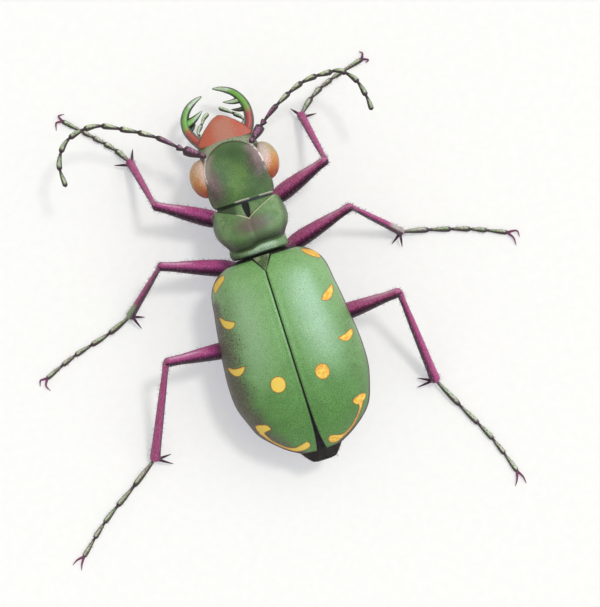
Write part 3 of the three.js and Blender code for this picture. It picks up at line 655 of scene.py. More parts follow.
def headPatch():
    # body rings with a step before the mouth, a ridge (x/brow)² high inside each eye, and a furrow
    # and a dent, lift·exp(−(distance/width)²)
    c, lift = head, head["lift"]
    y = bodyRows(c)
    beside = hill(y, eye["at"][1], 0.82, 4)
    brow = through(c["brow"], y)
    points = bodyRings(c, y)
    x, y, z = points[..., 0], points[..., 1], points[..., 2]
    above = smooth(z, 3.0, 3.5)
    middle, back, wide, power = c["forehead"]
    before = middle + back * (np.abs(x) / wide) ** power - y
    orbit = (np.abs(x) - brow) / 0.1  # in tenths outward from the edge of the brow
    z += above * (lift["edge"] * smooth(before, -0.05, 0.06) + lift["line"] * hill(before, 0, 0.04)
                  + lift["ridge"] * beside * (x / brow) ** 2 * smooth(orbit, 1.0, -0.6)
                  + lift["furrow"] * beside * hill(orbit, -2.8, 1.2)
                  + lift["dent"] * hill(x, 0, 0.5) * hill(y, -4.9, 0.35))
    fields = {
        "before": before, "above": above, "orbit": orbit, "beside": beside, "across": x,
        "dusk": hill(np.abs(x), 1.05, 0.46) * hill(y - 0.3 * np.sign(x), -4.25, 0.85),
        "middle": hill(x, 0, 0.6) * hill(y, -3.95, 0.75), "crown": hill(x, 0, 0.6) * hill(y, -5.1, 0.35),
        "nape": y + 3.02, "ahead": smooth(y, -3.9, -4.6),
        "mouth": smooth(y, -5.72, -5.9) * smooth(z, 3.1, 2.9),
    }
    return points, fields


def headFinish():
    f = Finish("head", head, 0.045, specular=0.5, coat=0.08, coatRoughness=0.3, metallic=0.15)
    fine, speck, cloud = f.fine, f.speck, f.noise(0.5, 3)
    above, before, across, dusk = f["above"], f["before"], f["across"], f["dusk"]
    patchy = (fine + cloud - 0.5).step(0.3, 0.8)
    f.colour = f.mix((fine * 1.2 + f["middle"] * 0.5 + cloud * 0.9 - 0.85).step(0.15, 0.85), "green", "bright")
    f.paint((f["crown"] * 0.7 + speck).step(0.2, 1.1) * 0.6, "deep")
    dusky = (dusk * 1.1 + speck * 2.4).step(0.2, 0.95) * above
    f.paint(dusky, f.mix(patchy, "duskDeep", "dusk"))
    f.paint(before.step(0.02, 0.07), f.mix(fine.step(0.38, 0.8), "grey", "green"))
    line = before.step(-0.04, -0.01) * before.step(0.06, 0.03)  # along the forehead's front edge
    f.paint(line * (0.35 + dusk).least(0.9) * above, "black")
    orbit = f["orbit"] + speck * 0.5
    beside = f["beside"].step(0.2, 0.5) * above
    forward = (f["ahead"] + speck * 0.6) * beside
    f.paint(orbit.step(-6, -0.5) * orbit.step(0.3, 0) * forward * 0.45, "dusty")
    broken = f.noise(0.22, 1).step(0.36, 0.5)
    f.paint(orbit.step(-1.2, -0.7) * orbit.step(0.1, -0.1) * broken * forward, "pale")
    # black where the head runs in under the eye: painted shade in the crease
    f.paint(orbit.step(0.0, 0.3) * beside, "black")
    nape = (f["nape"] + (f.noise(0.3, 1) - 0.5) * 0.03).step(-0.12, -0.09)
    gap = across.step(-0.72, -0.62) * across.step(-0.2, -0.3)
    f.paint(nape * above * across.step(0.45, 0.3) * (0.8 - gap * 0.65), "pale")
    f.paint(1 - above, f.mix(patchy, "deep", "green"))
    # black on the lower front under the lip and all over the neck in its gap: painted shade
    f.paint(f["mouth"], "black")
    wrinkles = f.noise(0.06, 1, (1.6, 0.16, 1)) * 0.8 + f.cells(0.08).step(0, 0.5) * 0.35
    return f.done(roughness=0.44 + speck * 0.15 + dusky * 0.25, normal=f.bump(wrinkles, 0.014))


def eyePatch(side):
    # an ellipsoid with its poles fore and aft: x = r·cos(u)·sin(v), y = −r·cos(v), z = r·sin(u)·sin(v)
    sign = 1 if side == "left" else -1
    v = np.pi * closeSpaced(eye["rows"], 0.3)[:, None]
    u = 2 * np.pi * np.arange(eye["columns"]) / eye["columns"]
    ring = np.maximum(np.sin(v), 0.004)
    (atX, atY, atZ), (wide, long, high) = eye["at"], eye["radii"]
    reach = np.where(np.cos(u) > 0, wide, eye["inner"])  # the inner half lies flatter in its socket
    grid = np.broadcast_arrays(sign * (atX + ring * reach * np.cos(u)), atY - long * np.cos(v),
                               atZ + high * ring * np.sin(u))
    return np.stack(grid, -1), {"rearward": (1 - np.cos(v)) / 2, "upward": ring * np.sin(u),
                                "outward": ring * np.cos(u), "faded": 0.5 - 0.5 * sign}


def eyeFinish():
    f = Finish("eye", eye, specular=0.6, coat=0.35, coatRoughness=0.2, roughness=0.35)
    rearward, upward, outward, faded = f["rearward"], f["upward"], f["outward"], f["faded"]
    facets = f.cells(eye["facet"])
    f.colour = f.mix(f.fine.step(0.35, 0.65), "amber", "paleAmber")
    f.paint((rearward + f.speck * 0.35 - upward * 0.12).step(0.35, 0.88), "red")
    f.paint((rearward + f.speck * 0.3).step(0.55, 0.2) * (0.3 + faded * 0.6), "olive")
    # pink: a painted highlight on the eye's upper inner side; the right eye, on the light's side, gets more of
    # it and more olive in front
    pink = (upward - rearward * 0.9 - outward * 0.5 + f.speck * 0.8).step(-0.05, 0.6)
    f.paint(pink * (0.6 + faded * 0.2), "pink")
    f.paint(facets.step(0.3, 0.62) * 0.3, "brown")
    f.paint(outward.step(0.88, 1.0) * 0.5, "edge")
    return f.done(normal=f.bump(facets.step(0.65, 0.1), 0.006))


def neckPatch():
    # a short dark tube in the gap between the head and the prothorax
    shares = closeSpaced(20)
    ends = roundEnds(shares, 0.1, 0.1)
    return tube(neck["path"], shares, neck["wide"] * ends, neck["tall"] * ends, 80)[0], {"mouth": 1.0}


headShell = headPatch()
makePiece("head_capsule", [headShell, neckPatch()], headFinish(), ["head"])
eyeShine = eyeFinish()
for side in ("left", "right"):
    makePiece("eye_ball_" + side, [eyePatch(side)], eyeShine, ["eye_" + side])
print("head and eyes")


# Mouth: upper lip, jaws and palps

lip = {
    "front": -6.86, "length": 1.14, "rows": 90, "tight": 0.7, "columns": 120, "power": 2.5,
    "halfWidth": [[-6.86, 0.03], [-6.83, 0.15], [-6.74, 0.32], [-6.6, 0.5], [-6.4, 0.73], [-6.15, 0.96],
                  [-5.9, 1.15], [-5.8, 1.2], [-5.72, 1.16]],
    "top": [[-6.86, 3.0], [-6.6, 3.14], [-6.2, 3.27], [-5.72, 3.32]], "wall": 0.32, "edge": 0.2,
    "red": (0.48, 0.115, 0.065), "pink": (0.47, 0.21, 0.15), "dark": (0.16, 0.025, 0.018),
}
jaws = {
    "left": [[1.0, -5.85, 2.46], [1.3, -6.3, 2.43], [1.44, -6.75, 2.38], [1.4, -7.1, 2.34], [1.15, -7.5, 2.3],
             [0.8, -7.74, 2.26], [0.41, -7.88, 2.24]],
    "right": [[-1.0, -5.85, 2.46], [-1.22, -6.35, 2.43], [-1.27, -6.8, 2.38], [-1.18, -7.2, 2.34],
              [-0.92, -7.62, 2.3], [-0.52, -7.9, 2.26], [-0.1, -8.05, 2.24]],
    "tall": [[0, 1.75], [0.3, 1.6], [0.7, 1.25], [1, 1]],  # height over width
    "radius": [[0, 0.24], [0.2, 0.21], [0.4, 0.19], [0.6, 0.17], [0.78, 0.14], [0.92, 0.085], [1, 0.03]],
    # each tooth: share of the jaw where it grows, its tip, its root's radius, whether dark
    "teeth": {"left": [[0.42, (0.56, -7.29, 2.28), 0.22, 0.0], [0.3, (1.0, -6.84, 2.28), 0.11, 1.0]],
              "right": [[0.52, (-0.37, -7.37, 2.28), 0.16, 0.0], [0.36, (-0.62, -6.97, 2.28), 0.13, 1.0]]},
    "red": (0.42, 0.09, 0.065), "green": (0.17, 0.4, 0.07), "pale": (0.55, 0.65, 0.5),
    "black": (0.035, 0.03, 0.028),
}
palps = {
    "maxillary_left": [[0.72, -6.0, 1.7], [1.02, -6.45, 1.62], [0.72, -6.86, 1.55], [0.62, -7.0, 1.55],
                       [0.36, -7.18, 1.5]],
    "maxillary_right": [[-0.72, -6.0, 1.7], [-1.0, -6.45, 1.62], [-0.7, -6.82, 1.55], [-0.48, -7.0, 1.55],
                        [-0.12, -7.27, 1.5]],
    "labial_left": [[0.3, -6.0, 1.6], [0.4, -6.3, 1.5], [0.34, -6.5, 1.45], [0.28, -6.66, 1.42]],
    "labial_right": [[-0.3, -6.0, 1.6], [-0.4, -6.3, 1.5], [-0.34, -6.5, 1.45], [-0.28, -6.66, 1.42]],
    "joints": [0, 0.3, 0.62, 1], "radius": {"maxillary": 0.1, "labial": 0.075},
    "green": (0.28, 0.45, 0.22), "pale": (0.72, 0.75, 0.6), "dark": (0.04, 0.035, 0.03),
}


def lipPatch():
    # a plate that is highest in the middle, its front edge drawn to a short point
    y = bodyRows(lip)
    wide = through(lip["halfWidth"], y)
    points = plateRings(lip, y, wide)
    x = points[..., 0]
    fields = {"edge": np.minimum(wide - np.abs(x), (y - lip["front"]) * 1.2), "across": x, "along": y}
    return points, fields


def lipFinish():
    f = Finish("upper lip", lip, specular=0.5, coat=0.15, coatRoughness=0.25)
    off = f["across"] + 0.05
    pink = (1 - off * off * 2.2 + f.speck * 1.6).step(0.2, 1.1) * f["along"].step(-6.85, -6.5)
    f.colour = f.mix(pink * 0.85, "red", "pink")
    f.paint((f["edge"] + f.speck * 0.05).step(0.07, 0.02), "dark")
    return f.done(roughness=0.38 + f.speck * 0.2, normal=f.bump(f.fine, 0.008))


def jawPatches(side):
    # a flattened tube along the sickle, and a bent cone for each tooth
    shares = closeSpaced(110, 0.5)
    wide = through(jaws["radius"], shares) * roundEnds(shares, 0.05, 0.03)
    patches = [tube(jaws[side], shares, wide, wide * through(jaws["tall"], shares), 28)]
    middle = pathAt(jaws[side], shares)
    for share, tip, radius, dark in jaws["teeth"][side]:
        root = middle[np.searchsorted(shares, share)]
        bend = (root + tip) / 2 + [0, 0.05, 0.02]
        tooth, fields = spike([root, bend, tip], radius, 0.75, 0.012, 40, 20)
        fields["share"] = share + 0.18 + 0.3 * fields["share"]  # a tooth is paler than the jaw beside it
        patches.append((tooth, {**fields, "dark": dark}))
    return patches


def jawFinish():
    f = Finish("jaw", jaws, 0.06, specular=0.55, coat=0.3, coatRoughness=0.15, roughness=0.32)
    share = f["share"] + f.speck * 0.14
    f.colour = f.mix(share.step(0.25, 0.4), "red", "green")
    f.paint((share + f.noise(0.2, 1) * 0.4 - 0.2).step(0.62, 0.9) * 0.85, "pale")
    # black wherever the jaw turns from the top: painted shade on its sides and under side
    f.paint((f["rise"] + f.speck * 0.3).step(0.92, 0.7), "black")
    f.paint(f["dark"] * 0.85, "black")
    f.paint(f["share"].step(0.95, 1.0), "black")
    return f.done(normal=f.bump(f.fine, 0.006))


def beadTube(places, shares, joints, radii, narrow, ends, tall=1.0):
    # a tube whose beads are narrow at their roots, full at three quarters and drawn in at their ends
    joints = np.asarray(joints)
    i = np.clip(np.searchsorted(joints, shares, side="right") - 1, 0, len(joints) - 2)
    t = (shares - joints[i]) / (joints[i + 1] - joints[i])
    swell = narrow + (1 - narrow) * np.sin(np.clip(t / 0.78, 0, 1) * np.pi / 2) ** 1.4
    swell *= 1 - 0.45 * np.clip((t - 0.84) / 0.16, 0, 1) ** 2
    radius = np.asarray(radii)[i] * swell * roundEnds(shares, *ends)
    grid, fields = tube(places, shares, radius, radius * tall, 18)
    return grid, {**fields, "joint": np.minimum(t, 1 - t)[:, None], "bead": t[:, None]}


def beadShares(joints, count):
    return np.unique(np.concatenate([np.linspace(a, b, count) for a, b in zip(joints, joints[1:])]))


def palpFinish():
    f = Finish("palp", palps, specular=0.5, coat=0.2, coatRoughness=0.2, roughness=0.35)
    # pale toward bright and dark away from it: painted light and shade
    f.colour = f.mix((f["over"] + f.speck * 0.7).step(0.75, 1.05), "green", "pale")
    f.paint((f["over"] + f.speck * 0.4).step(0.8, 0.4), "dark")
    f.paint(f["joint"].step(0.13, 0.03), "dark")
    return f.done(normal=f.bump(f.fine, 0.006))


makePiece("upper_lip", [lipPatch()], lipFinish(), ["labrum"])
jawShine, palpShine = jawFinish(), palpFinish()
for side in ("left", "right"):
    makePiece("jaw_" + side, jawPatches(side), jawShine, ["mandible_" + side])
    for kind, radius in palps["radius"].items():
        name = kind + "_" + side
        palp = beadTube(palps[name], closeSpaced(70, 0.5), palps["joints"], [radius] * 3, 0.55, (0.03, 0.06))
        makePiece("palp_" + name + "_beads", [palp], palpShine, ["palp_" + name])
print("mouth")


# Feelers

feeler = {
    "left": [[0.97, -5.28, 3.84], [1.3, -5.5, 3.62], [1.8, -5.88, 3.52], [2.62, -6.62, 3.58],
             [3.74, -7.31, 3.62], [5.22, -7.91, 3.62], [6.35, -7.62, 3.62], [6.89, -6.84, 3.62],
             [6.91, -5.82, 3.62]],
    "right": [[-0.97, -5.3, 3.84], [-1.25, -5.52, 3.62], [-1.66, -5.9, 3.52], [-2.5, -6.48, 3.58],
              [-3.91, -7.09, 3.62], [-5.19, -7.12, 3.62], [-5.88, -6.6, 3.62], [-6.17, -5.65, 3.62],
              [-6.21, -5.08, 3.62]],
    "joints": [0, 0.028, 0.13, 0.166, 0.28, 0.375, 0.468, 0.56, 0.65, 0.735, 0.82, 0.91, 1.0],
    "radii": [0.14, 0.21, 0.14, 0.12, 0.123, 0.128, 0.129, 0.128, 0.126, 0.123, 0.12, 0.11],
    "plum": (0.1, 0.014, 0.06), "pink": (0.62, 0.3, 0.46), "green": (0.12, 0.19, 0.085),
    "pale": (0.6, 0.66, 0.44), "dark": (0.045, 0.028, 0.03),
}


def feelerFinish():
    f = Finish("feeler", feeler, specular=0.5, coat=0.2, coatRoughness=0.2)
    over, bead = f["over"] + f.speck * 0.9, (f["bead"] + f.speck * 0.8).step(0.2, 0.65)
    paintedHighlightWeight = (f["share"] + f.noise(0.25, 1) * 0.6).step(1.4, 0.7)  # less pale toward the tip
    # pale: a painted highlight toward bright, strongest at each bead's thick end and weaker toward the tip
    pale = over.step(0.6, 1.0) * (0.45 + bead * 0.55) * (0.45 + paintedHighlightWeight * 0.55)
    # pink toward bright: painted light
    f.colour = f.mix(over.step(0.75, 1.3), "plum", "pink")
    f.paint((f["share"] + f.speck * 0.1).step(0.24, 0.34), f.mix(pale, "green", "pale"))
    # dark away from bright: painted shade
    f.paint(over.step(0.95, 0.6) * over.step(-0.9, -0.3) * 0.9, "dark")
    f.paint((f["joint"] + f.speck * 0.2).step(0.3, 0.12), "dark")
    return f.done(roughness=0.4 + f.speck * 0.2, normal=f.bump(f.fine, 0.006))


feelerShine = feelerFinish()
for side in ("left", "right"):
    shares = beadShares(feeler["joints"], 16)
    beads = beadTube(feeler[side], shares, feeler["joints"], feeler["radii"], 0.5, (0.006, 0.012))
    makePiece("feeler_" + side, [beads], feelerShine,
              ["antenna_" + part + "_" + side for part in ("base", "middle", "tip")])
print("feelers")


# Underside: mid and hind breast with the belly

breast = {
    "front": -0.78, "length": 9.06, "rows": 300, "tight": 0.55, "columns": 130, "power": 2.2,
    "closed": 9.04, "ends": (0.012, 0.004, 1), "narrow": 0.3,
    "halfWidth": [[-0.78, 1.2], [-0.6, 1.5], [0, 2.0], [1.2, 2.28], [2.5, 2.47], [4.3, 2.6], [5.6, 2.38],
                  [6.7, 1.78], [7.5, 1.12], [7.85, 0.84], [8.12, 0.62], [8.28, 0.44]],
    "top": [[-0.78, 3.9], [0, 4.1], [2.4, 4.4], [4.6, 4.15], [6.4, 3.45], [7.3, 2.95], [7.8, 2.78],
            [8.28, 2.64]],
    "low": [[-0.78, 2.1], [-0.6, 1.95], [1, 1.85], [2.5, 1.85], [4.5, 1.95], [6.5, 2.2], [8.26, 2.48]],
    "level": [[-0.78, 2.85], [7.5, 2.5], [8.26, 2.54]],
    "plates": [3.25, 4.15, 5.0, 5.85, 6.65, 7.45], "plateStep": (0.055, 0.22),  # how deep, over which length
    "seams": [(0.42, 0.35), (1.55, 0.5)],  # between the side plates: y where they start, slope
    "deep": (0.014, 0.011, 0.01), "shine": (0.042, 0.038, 0.032), "violet": (0.05, 0.025, 0.045),
}


def breastPatch():
    # body rings; each belly plate overlaps the next, so behind its edge the body steps in by
    # depth·exp(−distance/length); seams run up the sides and a furrow along the middle
    c = breast
    y = bodyRows(c)
    depth, length = c["plateStep"]
    step = sum(depth * np.exp(-(y - edge).clip(0) / length) * (y > edge) for edge in c["plates"])
    points = bodyRings(c, y, step)
    x, y, z = points[..., 0], points[..., 1], points[..., 2]
    under = smooth(z, 2.9, 2.5)
    for start, slope in c["seams"]:
        x -= np.sign(x) * 0.06 * under * hill(y - slope * (z - 2.2), start, 0.05)
    z += under * 0.05 * hill(x, 0, 0.06) * smooth(y, 3.2, 2.9)
    return points, {"plate": step}


def breastFinish():
    f = Finish("underside", breast, specular=0.35, metallic=0.15)
    cloud = f.noise(0.7, 3)
    f.colour = f.mix((f.fine + cloud - 0.5).step(0.3, 0.8), "deep", "shine")
    f.paint((f["plate"] * 14 + (cloud - 0.5)).step(0.2, 0.8), "violet")
    return f.done(roughness=0.5 + f.speck * 0.15, normal=f.bump(f.fine + f.cells(0.1) * 0.5, 0.01))


breastShell, underFinish = breastPatch(), breastFinish()
makePiece("underbody", [breastShell], underFinish, ["mesothorax", "metathorax", "abdomen"])
print("underside")


# Legs

leg = {
    "fore": {"coxa": (0.62, -2.42, 2.05), "hipHeight": 1.62, "kneeHeight": 3.2, "ankleHeight": 0.42,
             "sag": 0.04, "femur": 0.37, "shin": 0.17, "joints": [0, 0.25, 0.41, 0.56, 0.71, 1]},
    "mid": {"coxa": (0.62, -0.3, 2.05), "hipHeight": 1.62, "kneeHeight": 3.4, "ankleHeight": 0.42,
            "sag": 0.06, "femur": 0.36, "shin": 0.175, "joints": [0, 0.27, 0.47, 0.65, 0.8, 1]},
    "hind": {"coxa": (0.78, 2.3, 2.05), "hipHeight": 1.58, "kneeHeight": 3.8, "ankleHeight": 0.42,
             "sag": 0.16, "femur": 0.38, "shin": 0.21, "joints": [0, 0.29, 0.5, 0.67, 0.82, 1]},
    # thighShade and lit: more painted shade on the left legs' thighs, more painted light on the right ones'
    "left": {"side": 1, "thighShade": -0.06, "lit": 0.0},
    "right": {"side": -1, "thighShade": 0.03, "lit": 0.09},
    # radii along each length, those of thigh and shin in shares of the fullest
    "hipShape": [[0, 0.26], [0.35, 0.36], [0.7, 0.3], [1, 0.16]],
    "ringShape": [[0, 0.12], [0.4, 0.21], [0.8, 0.19], [1, 0.12]],
    "thighShape": [[0, 0.65], [0.06, 0.82], [0.15, 0.97], [0.24, 1.0], [0.45, 0.9], [0.65, 0.73],
                   [0.83, 0.56], [0.92, 0.54], [0.98, 0.52], [1, 0.48]],
    "shinShape": [[0, 0.75], [0.05, 0.68], [0.12, 0.62], [0.3, 0.74], [0.6, 0.88], [0.88, 1.0],
                  [0.97, 1.08], [1, 1.0]],
    "beads": [0.126, 0.12096, 0.11592, 0.11088, 0.10584], "toeHeights": [0.17, 0.12, 0.09],
    "spur": {"radius": 0.065, "inside": 0.08, "apart": 0.55, "tip": 0.2, "bow": 0.07},
    "claw": {"radius": 0.055, "inside": 0.06, "bow": 0.05, "drop": -0.06},
    "magenta": (0.34, 0.035, 0.16), "pink": (0.6, 0.18, 0.36), "plum": (0.12, 0.02, 0.07),
    "black": (0.035, 0.01, 0.024), "shine": (0.85, 0.66, 0.78), "fresh": (0.24, 0.42, 0.2),
    "green": (0.1, 0.2, 0.06), "brown": (0.16, 0.12, 0.09), "pale": (0.62, 0.66, 0.5),
    "dark": (0.045, 0.028, 0.03), "clawTint": (0.17, 0.04, 0.09),
}

# Where each leg's joints lie in plan; spurs' tips are [along, aside] from the ankle, and the bend and
# tip of each claw are places from the foot's end. The body's painted shadow lies across the thigh between two
# shares of it.
legPlaces = {
    "fore_left": {
        "hip": (1.05, -2.54), "knee": (3.63, -4.0), "ankle": (4.21, -6.25),
        "foot": [(4.66, -6.95), (5.48, -7.83), (6.51, -8.87)], "spurs": [(0.3, -0.52), (0.46, 0.54)],
        "claws": [((0.06, -0.21), (-0.2, -0.24)), ((0.2, 0.02), (0.34, 0.35))]},
    "fore_right": {
        "hip": (-1.05, -2.8), "knee": (-3.75, -3.7), "ankle": (-3.4, -6.01),
        "foot": [(-4.11, -6.63), (-5.03, -7.08), (-6.69, -7.56)], "spurs": [(0.0, 0.55), (0.42, -0.53)],
        "claws": [((-0.03, -0.22), (0.1, -0.34)), ((-0.19, 0.14), (-0.03, 0.22))]},
    "mid_left": {
        "hip": (1.05, -0.48), "knee": (4.17, -1.51), "ankle": (6.16, 0.05),
        "foot": [(7.27, 0.49), (9.05, 0.99), (10.44, 1.55)], "spurs": [(-0.45, 0.42), (-0.03, 0.72)],
        "claws": [((0.22, -0.03), (0.36, 0.23)), ((0.09, 0.28), (-0.02, 0.54))],
        "paintedShadow": (0.34, 0.16), "shinShade": 0.5, "shinEnd": {"fresh": 1.0}},
    "mid_right": {
        "hip": (-1.05, -0.72), "knee": (-4.16, -1.53), "ankle": (-6.0, 0.05),
        "foot": [(-7.26, 0.35), (-8.83, 0.81), (-10.42, 1.46)], "spurs": [(-0.42, -0.5), (0.02, -0.66)],
        "claws": [((-0.37, 0.04), (-0.41, 0.33)), ((-0.14, 0.29), (-0.16, 0.63))],
        "shinEnd": {"fresh": 0.5, "shine": 1.5}},
    "hind_left": {
        "hip": (1.3, 2.76), "knee": (5.1, 2.39), "ankle": (6.98, 6.21),
        "foot": [(8.24, 7.09), (9.88, 8.19), (11.21, 9.36)], "spurs": [(-0.58, 0.42), (-0.3, 0.76)],
        "claws": [((0.27, 0.01), (0.55, 0.18)), ((0.13, 0.23), (0.25, 0.51))], "paintedShadow": (0.58, 0.42)},
    "hind_right": {
        "hip": (-1.3, 2.69), "knee": (-5.03, 2.48), "ankle": (-5.51, 6.56),
        "foot": [(-6.19, 7.91), (-7.11, 9.71), (-7.73, 11.42)], "spurs": [(-0.58, -0.5), (-0.3, -0.78)],
        "claws": [((-0.15, 0.24), (-0.21, 0.58)), ((0.12, 0.27), (0.28, 0.56))]},
}


def legOf(name):
    # one leg's sizes and places, its joints raised to their heights
    pair, side = name.split("_")
    own = {"paintedShadow": (0, -1), "shinShade": 0.28, "shinEnd": {}, **leg[pair], **leg[side], **legPlaces[name]}
    for joint in ("hip", "knee", "ankle"):
        own[joint] = np.array([*own[joint], own[joint + "Height"]])
    own["toes"] = [np.array([*at, height]) for at, height in zip(own["foot"], leg["toeHeights"])]
    own["thighWay"], own["shinWay"] = unit(own["knee"] - own["hip"]), unit(own["ankle"] - own["knee"])
    return own


def hipPatches(own):
    # the hip's bulb, and the small ring segment between it and the thigh: tubes with radii
    # through hipShape and ringShape
    hip, way, root = own["hip"], own["thighWay"], np.array(own["coxa"]) * [own["side"], 1, 1]
    shares = closeSpaced(50, 0.5)
    bulb = through(leg["hipShape"], shares) * roundEnds(shares, 0.15, 0.2)
    ring = through(leg["ringShape"], shares) * roundEnds(shares, 0.2, 0.25)
    low = (root + hip) / 2 - [0, 0, 0.1]
    return [tube([root, low, hip + way * 0.1], shares, bulb, columns=28),
            tube([hip - way * 0.12, hip + way * 0.12, hip + way * 0.36], shares, ring, columns=24)]


def thighPatch(own):
    # a tube that sags in its middle, its radius through thighShape
    hip, knee, way = own["hip"], own["knee"], own["thighWay"]
    middle = (hip + knee) / 2 - [0, 0, own["sag"] / 2]
    shares = closeSpaced(120, 0.75)
    radius = own["femur"] * through(leg["thighShape"], shares) * roundEnds(shares, 0.03, 0.045)
    grid, fields = tube([hip + way * 0.12, middle, knee + way * 0.1], shares, radius, radius * 1.06, 32)
    # shine: a painted highlight along the thigh's lit side near the knee
    outer = smooth(fields["share"], 0.5, 0.75) * smooth(fields["share"], 1, 0.93)
    fields["shine"] = smooth(fields["over"], 0.93, 1.0) * outer  # a narrow line of light
    fields["over"] = fields["over"] + own["thighShade"]
    fields["root"] = smooth(fields["share"], *own["paintedShadow"])
    fields["lit"] = own["lit"]
    return grid, fields


def shinPatch(own):
    # a straight tube, its radius through shinShape
    knee, ankle, way = own["knee"], own["ankle"], own["shinWay"]
    shares = closeSpaced(110, 0.75)
    radius = own["shin"] * through(leg["shinShape"], shares) * roundEnds(shares, 0.03, 0.02)
    grid, fields = tube([knee - way * 0.05, (knee + ankle) / 2, ankle + way * 0.06], shares, radius, columns=26)
    # the shin's painted shade on its under side
    fields["over"] = fields["over"] * 0.8 + own["shinShade"]  # its dark under side is narrower
    for key, amount in own["shinEnd"].items():
        fields[key] = smooth(fields["share"], 0.68, 0.8) * amount
    return grid, fields


def spurPatches(own):
    # two bent cones at the ankle
    c, ankle, patches = leg["spur"], own["ankle"], []
    ahead = unit((own["toes"][0] - ankle) * [1, 1, 0])
    aside = np.cross([0.0, 0.0, 1.0], ahead)
    for along, beside in own["spurs"]:
        root = ankle - own["shinWay"] * c["inside"] + aside * np.sign(beside) * own["shin"] * c["apart"]
        tip = ankle + ahead * along + aside * beside
        tip[2] = c["tip"]
        spur, fields = spike([root, (root + tip) / 2 + [0, 0, c["bow"]], tip], c["radius"])
        patches.append((spur, {**fields, "spur": 1.0}))
    return patches


def footPatches(own):
    # five beads in a row, flattened and kept off the floor, and two claws, bent cones
    c, toes, joints = leg["claw"], own["toes"], own["joints"]
    shares = beadShares(joints, 22)
    grid, fields = beadTube([own["ankle"], *toes], shares, joints, leg["beads"], 0.5, (0.01, 0.02), 0.85)
    grid[..., 2] = np.maximum(grid[..., 2], 0.004)
    patches = [(grid, fields)]
    root = toes[-1] - unit((toes[-1] - toes[-2]) * [1, 1, 0]) * c["inside"]
    for bend, tip in own["claws"]:
        claw, fields = spike([root, toes[-1] + [*bend, c["bow"]], toes[-1] + [*tip, c["drop"]]], c["radius"])
        patches.append((claw, {**fields, "claw": 1.0}))
    return patches


def purpleFinish():
    f = Finish("leg purple", leg, detail=2, specular=0.4)
    fine, fuzz = f.fine, f.noise(0.09, 1)
    over = f["over"] + (fuzz - 0.5) * 0.5
    # pink toward bright and on the right legs (lit): painted light
    f.colour = f.mix((fine * 0.8 + over * 0.2 + f["lit"]).step(0.5, 0.85), "magenta", "pink")
    # shine: a painted highlight on the thighs and at the mid right shin's end
    f.paint(f["shine"] * (fine * 1.4).least(1) * 0.55, "shine")
    f.paint(f["fresh"] * 0.9, "fresh")
    # the body's painted shadow across the thigh's root
    f.paint(f["root"] * 0.75, "plum")
    # plum and black away from bright: the leg's own darker under side, and painted shade
    f.paint(over.step(0.85, 0.45), "plum")
    f.paint(over.step(0.55, 0.15) * over.step(-0.8, -0.2), "black")
    f.paint(f["spur"] * 0.9, "black")
    return f.done(roughness=0.45 + f.speck * 0.2, normal=f.bump(fine + fuzz, 0.012))


def footFinish():
    f = Finish("foot", leg, specular=0.5, coat=0.2, coatRoughness=0.2, roughness=0.38)
    over, bead = f["over"] + f.speck * 0.7, (f["bead"] + f.speck * 0.8).step(0.2, 0.65)
    f.colour = f.mix(f.noise(0.4, 1).step(0.35, 0.6), "green", "brown")
    # pale toward bright at each bead's thick end: painted highlight; dark away from it: painted shade
    f.paint(over.step(0.75, 1.1) * (0.4 + bead * 0.6), "pale")
    f.paint(over.step(0.9, 0.5) * over.step(-0.9, -0.3) * 0.9, "dark")
    f.paint(f["joint"].step(0.2, 0.07), "dark")
    f.paint(f["claw"], "clawTint")
    return f.done(normal=f.bump(f.fine, 0.006))


purple, footShine = purpleFinish(), footFinish()
legGrids = []
for name in legPlaces:
    own = legOf(name)
    thigh, shin, foot = thighPatch(own), shinPatch(own), footPatches(own)
    makePiece("hip_" + name, hipPatches(own), underFinish, ["coxa_" + name])
    makePiece("thigh_" + name, [thigh], purple, ["femur_" + name])
    makePiece("shin_" + name, [shin, *spurPatches(own)], purple, ["tibia_" + name])
    makePiece("foot_" + name, foot, footShine, ["tarsus_" + name])
    legGrids += [("thigh", thigh[0]), ("shin", shin[0]), ("foot", foot[0][0])]
print("legs")


# Bristles

bristle = {
    "radius": 0.007, "lean": 0.75, "scatter": 0.15, "bow": 0.12, "length": (0.7, 0.6),
    "rings": [(-0.1, 1.0), (0.5, 0.7)],  # place along it and share of the radius
    "tint": (0.3, 0.2, 0.24), "tip": (0.55, 0.48, 0.46), "patch": 0.003,
    # for each bed: how many, how long, from which share of its length, and round it from and to
    "thigh": (260, 0.13, 0.0, 0, 1), "shin": (200, 0.14, 0.1, 0, 1), "foot": (130, 0.1, 0.02, 0, 1),
    "breast": (520, 0.24, 0.02, 0.5, 1.0), "belly": (260, 0.16, 0.0, 0.5, 1.0),
    "prothorax": (260, 0.2, 0.06, 0.52, 0.98), "head": (120, 0.16, 0.1, 0.58, 0.92),
}


def bristleRoots(grid, count, start, low, high):
    rows, columns = grid.shape[:2]
    r = (start + (0.97 - start) * dice.random(count)) * (rows - 1)
    c = (low + (high - low) * dice.random(count)) * columns
    i, j = r.astype(int), c.astype(int) % columns
    ahead = unit(np.gradient(grid, axis=0)[i, j])
    return grid[i, j], facing(grid)[i, j], ahead, np.stack([c / columns, r / rows], 1)


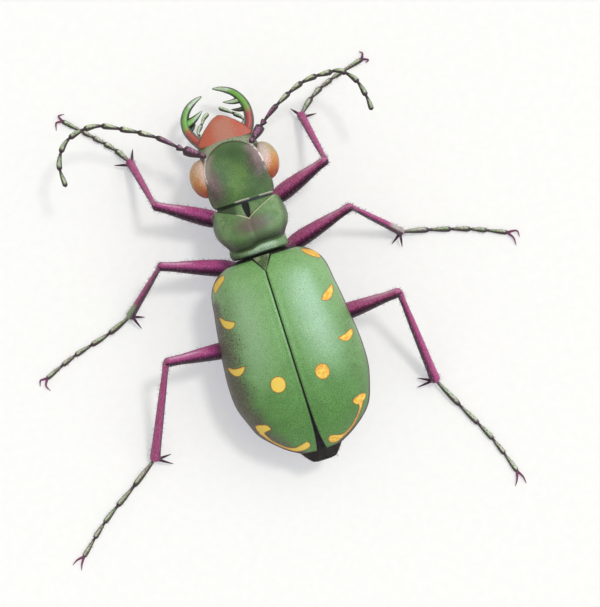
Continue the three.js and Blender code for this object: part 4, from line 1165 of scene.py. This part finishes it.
def makeBristles(name, grids):
    # each bristle is a bowed three-sided spike: two rings of three points and a tip
    tiles = int(np.ceil(np.sqrt(len(grids))))
    shortest, longer = bristle["length"]
    spots, uvs = [], []
    for number, (bed, grid) in enumerate(grids):
        count, length, *where = bristle[bed]
        root, out, ahead, uv = bristleRoots(grid, count, *where)
        size = length * (shortest + longer * dice.random(count))[:, None]
        way = unit(out + ahead * bristle["lean"] + dice.normal(0, bristle["scatter"], (count, 3)))
        aside = unit(np.cross(way, out + [0.01, 0.02, 0.03]))
        over = np.cross(aside, way)
        rings = []
        for along, thick in bristle["rings"]:
            middle = root + way * size * along + out * size * bristle["bow"] * np.sin(np.pi * along)
            for a in (0, 2 * np.pi / 3, 4 * np.pi / 3):
                rings.append(middle + (aside * np.cos(a) + over * np.sin(a)) * bristle["radius"] * thick)
        spots.append(np.stack([*rings, root + way * size], 1))
        uvs.append((np.array([number % tiles, number // tiles]) + 0.04 + 0.92 * uv) / tiles)
    spots, uvs = np.concatenate(spots), np.concatenate(uvs)
    spots[..., 2] = np.maximum(spots[..., 2], 0.002)
    share = np.array([0, 0, 0, 0.5, 0.5, 0.5, 1.0], np.float32)
    one = [(0, 1, 4, 3), (1, 2, 5, 4), (2, 0, 3, 5), (3, 4, 6), (4, 5, 6), (5, 3, 6), (2, 1, 0)]
    faces = [tuple(7 * i + corner for corner in face) for i in range(len(spots)) for face in one]
    mesh = bpy.data.meshes.new(name)
    mesh.from_pydata(world(spots.reshape(-1, 3)).tolist(), [], faces)
    mesh.shade_smooth()
    mesh.attributes.new("share", "FLOAT", "POINT").data.foreach_set("value", np.tile(share, len(spots)))
    corners = np.array([corner for face in one for corner in face])
    small = np.stack([corners % 3 / 3, share[corners]], 1) * bristle["patch"]
    flat = (uvs[:, None] + small).astype(np.float32).reshape(-1)
    mesh.uv_layers.new(name="OFBake").data.foreach_set("uv", flat)
    place(name, mesh, bristleShine, [])


def bristleFinish():
    f = Finish("bristle", bristle, specular=0.4, roughness=0.45)
    f.colour = f.mix(f["share"].step(0.0, 0.9), "tint", "tip")
    return f.done()


bristleShine = bristleFinish()
breastGrid = breastShell[0]
bodyGrids = [("breast", breastGrid[:210]), ("belly", breastGrid[200:]), ("prothorax", prothoraxShell[0]),
             ("head", headShell[0])]
makeBristles("bristles_legs", legGrids)
makeBristles("bristles_body", bodyGrids)
print("bristles")
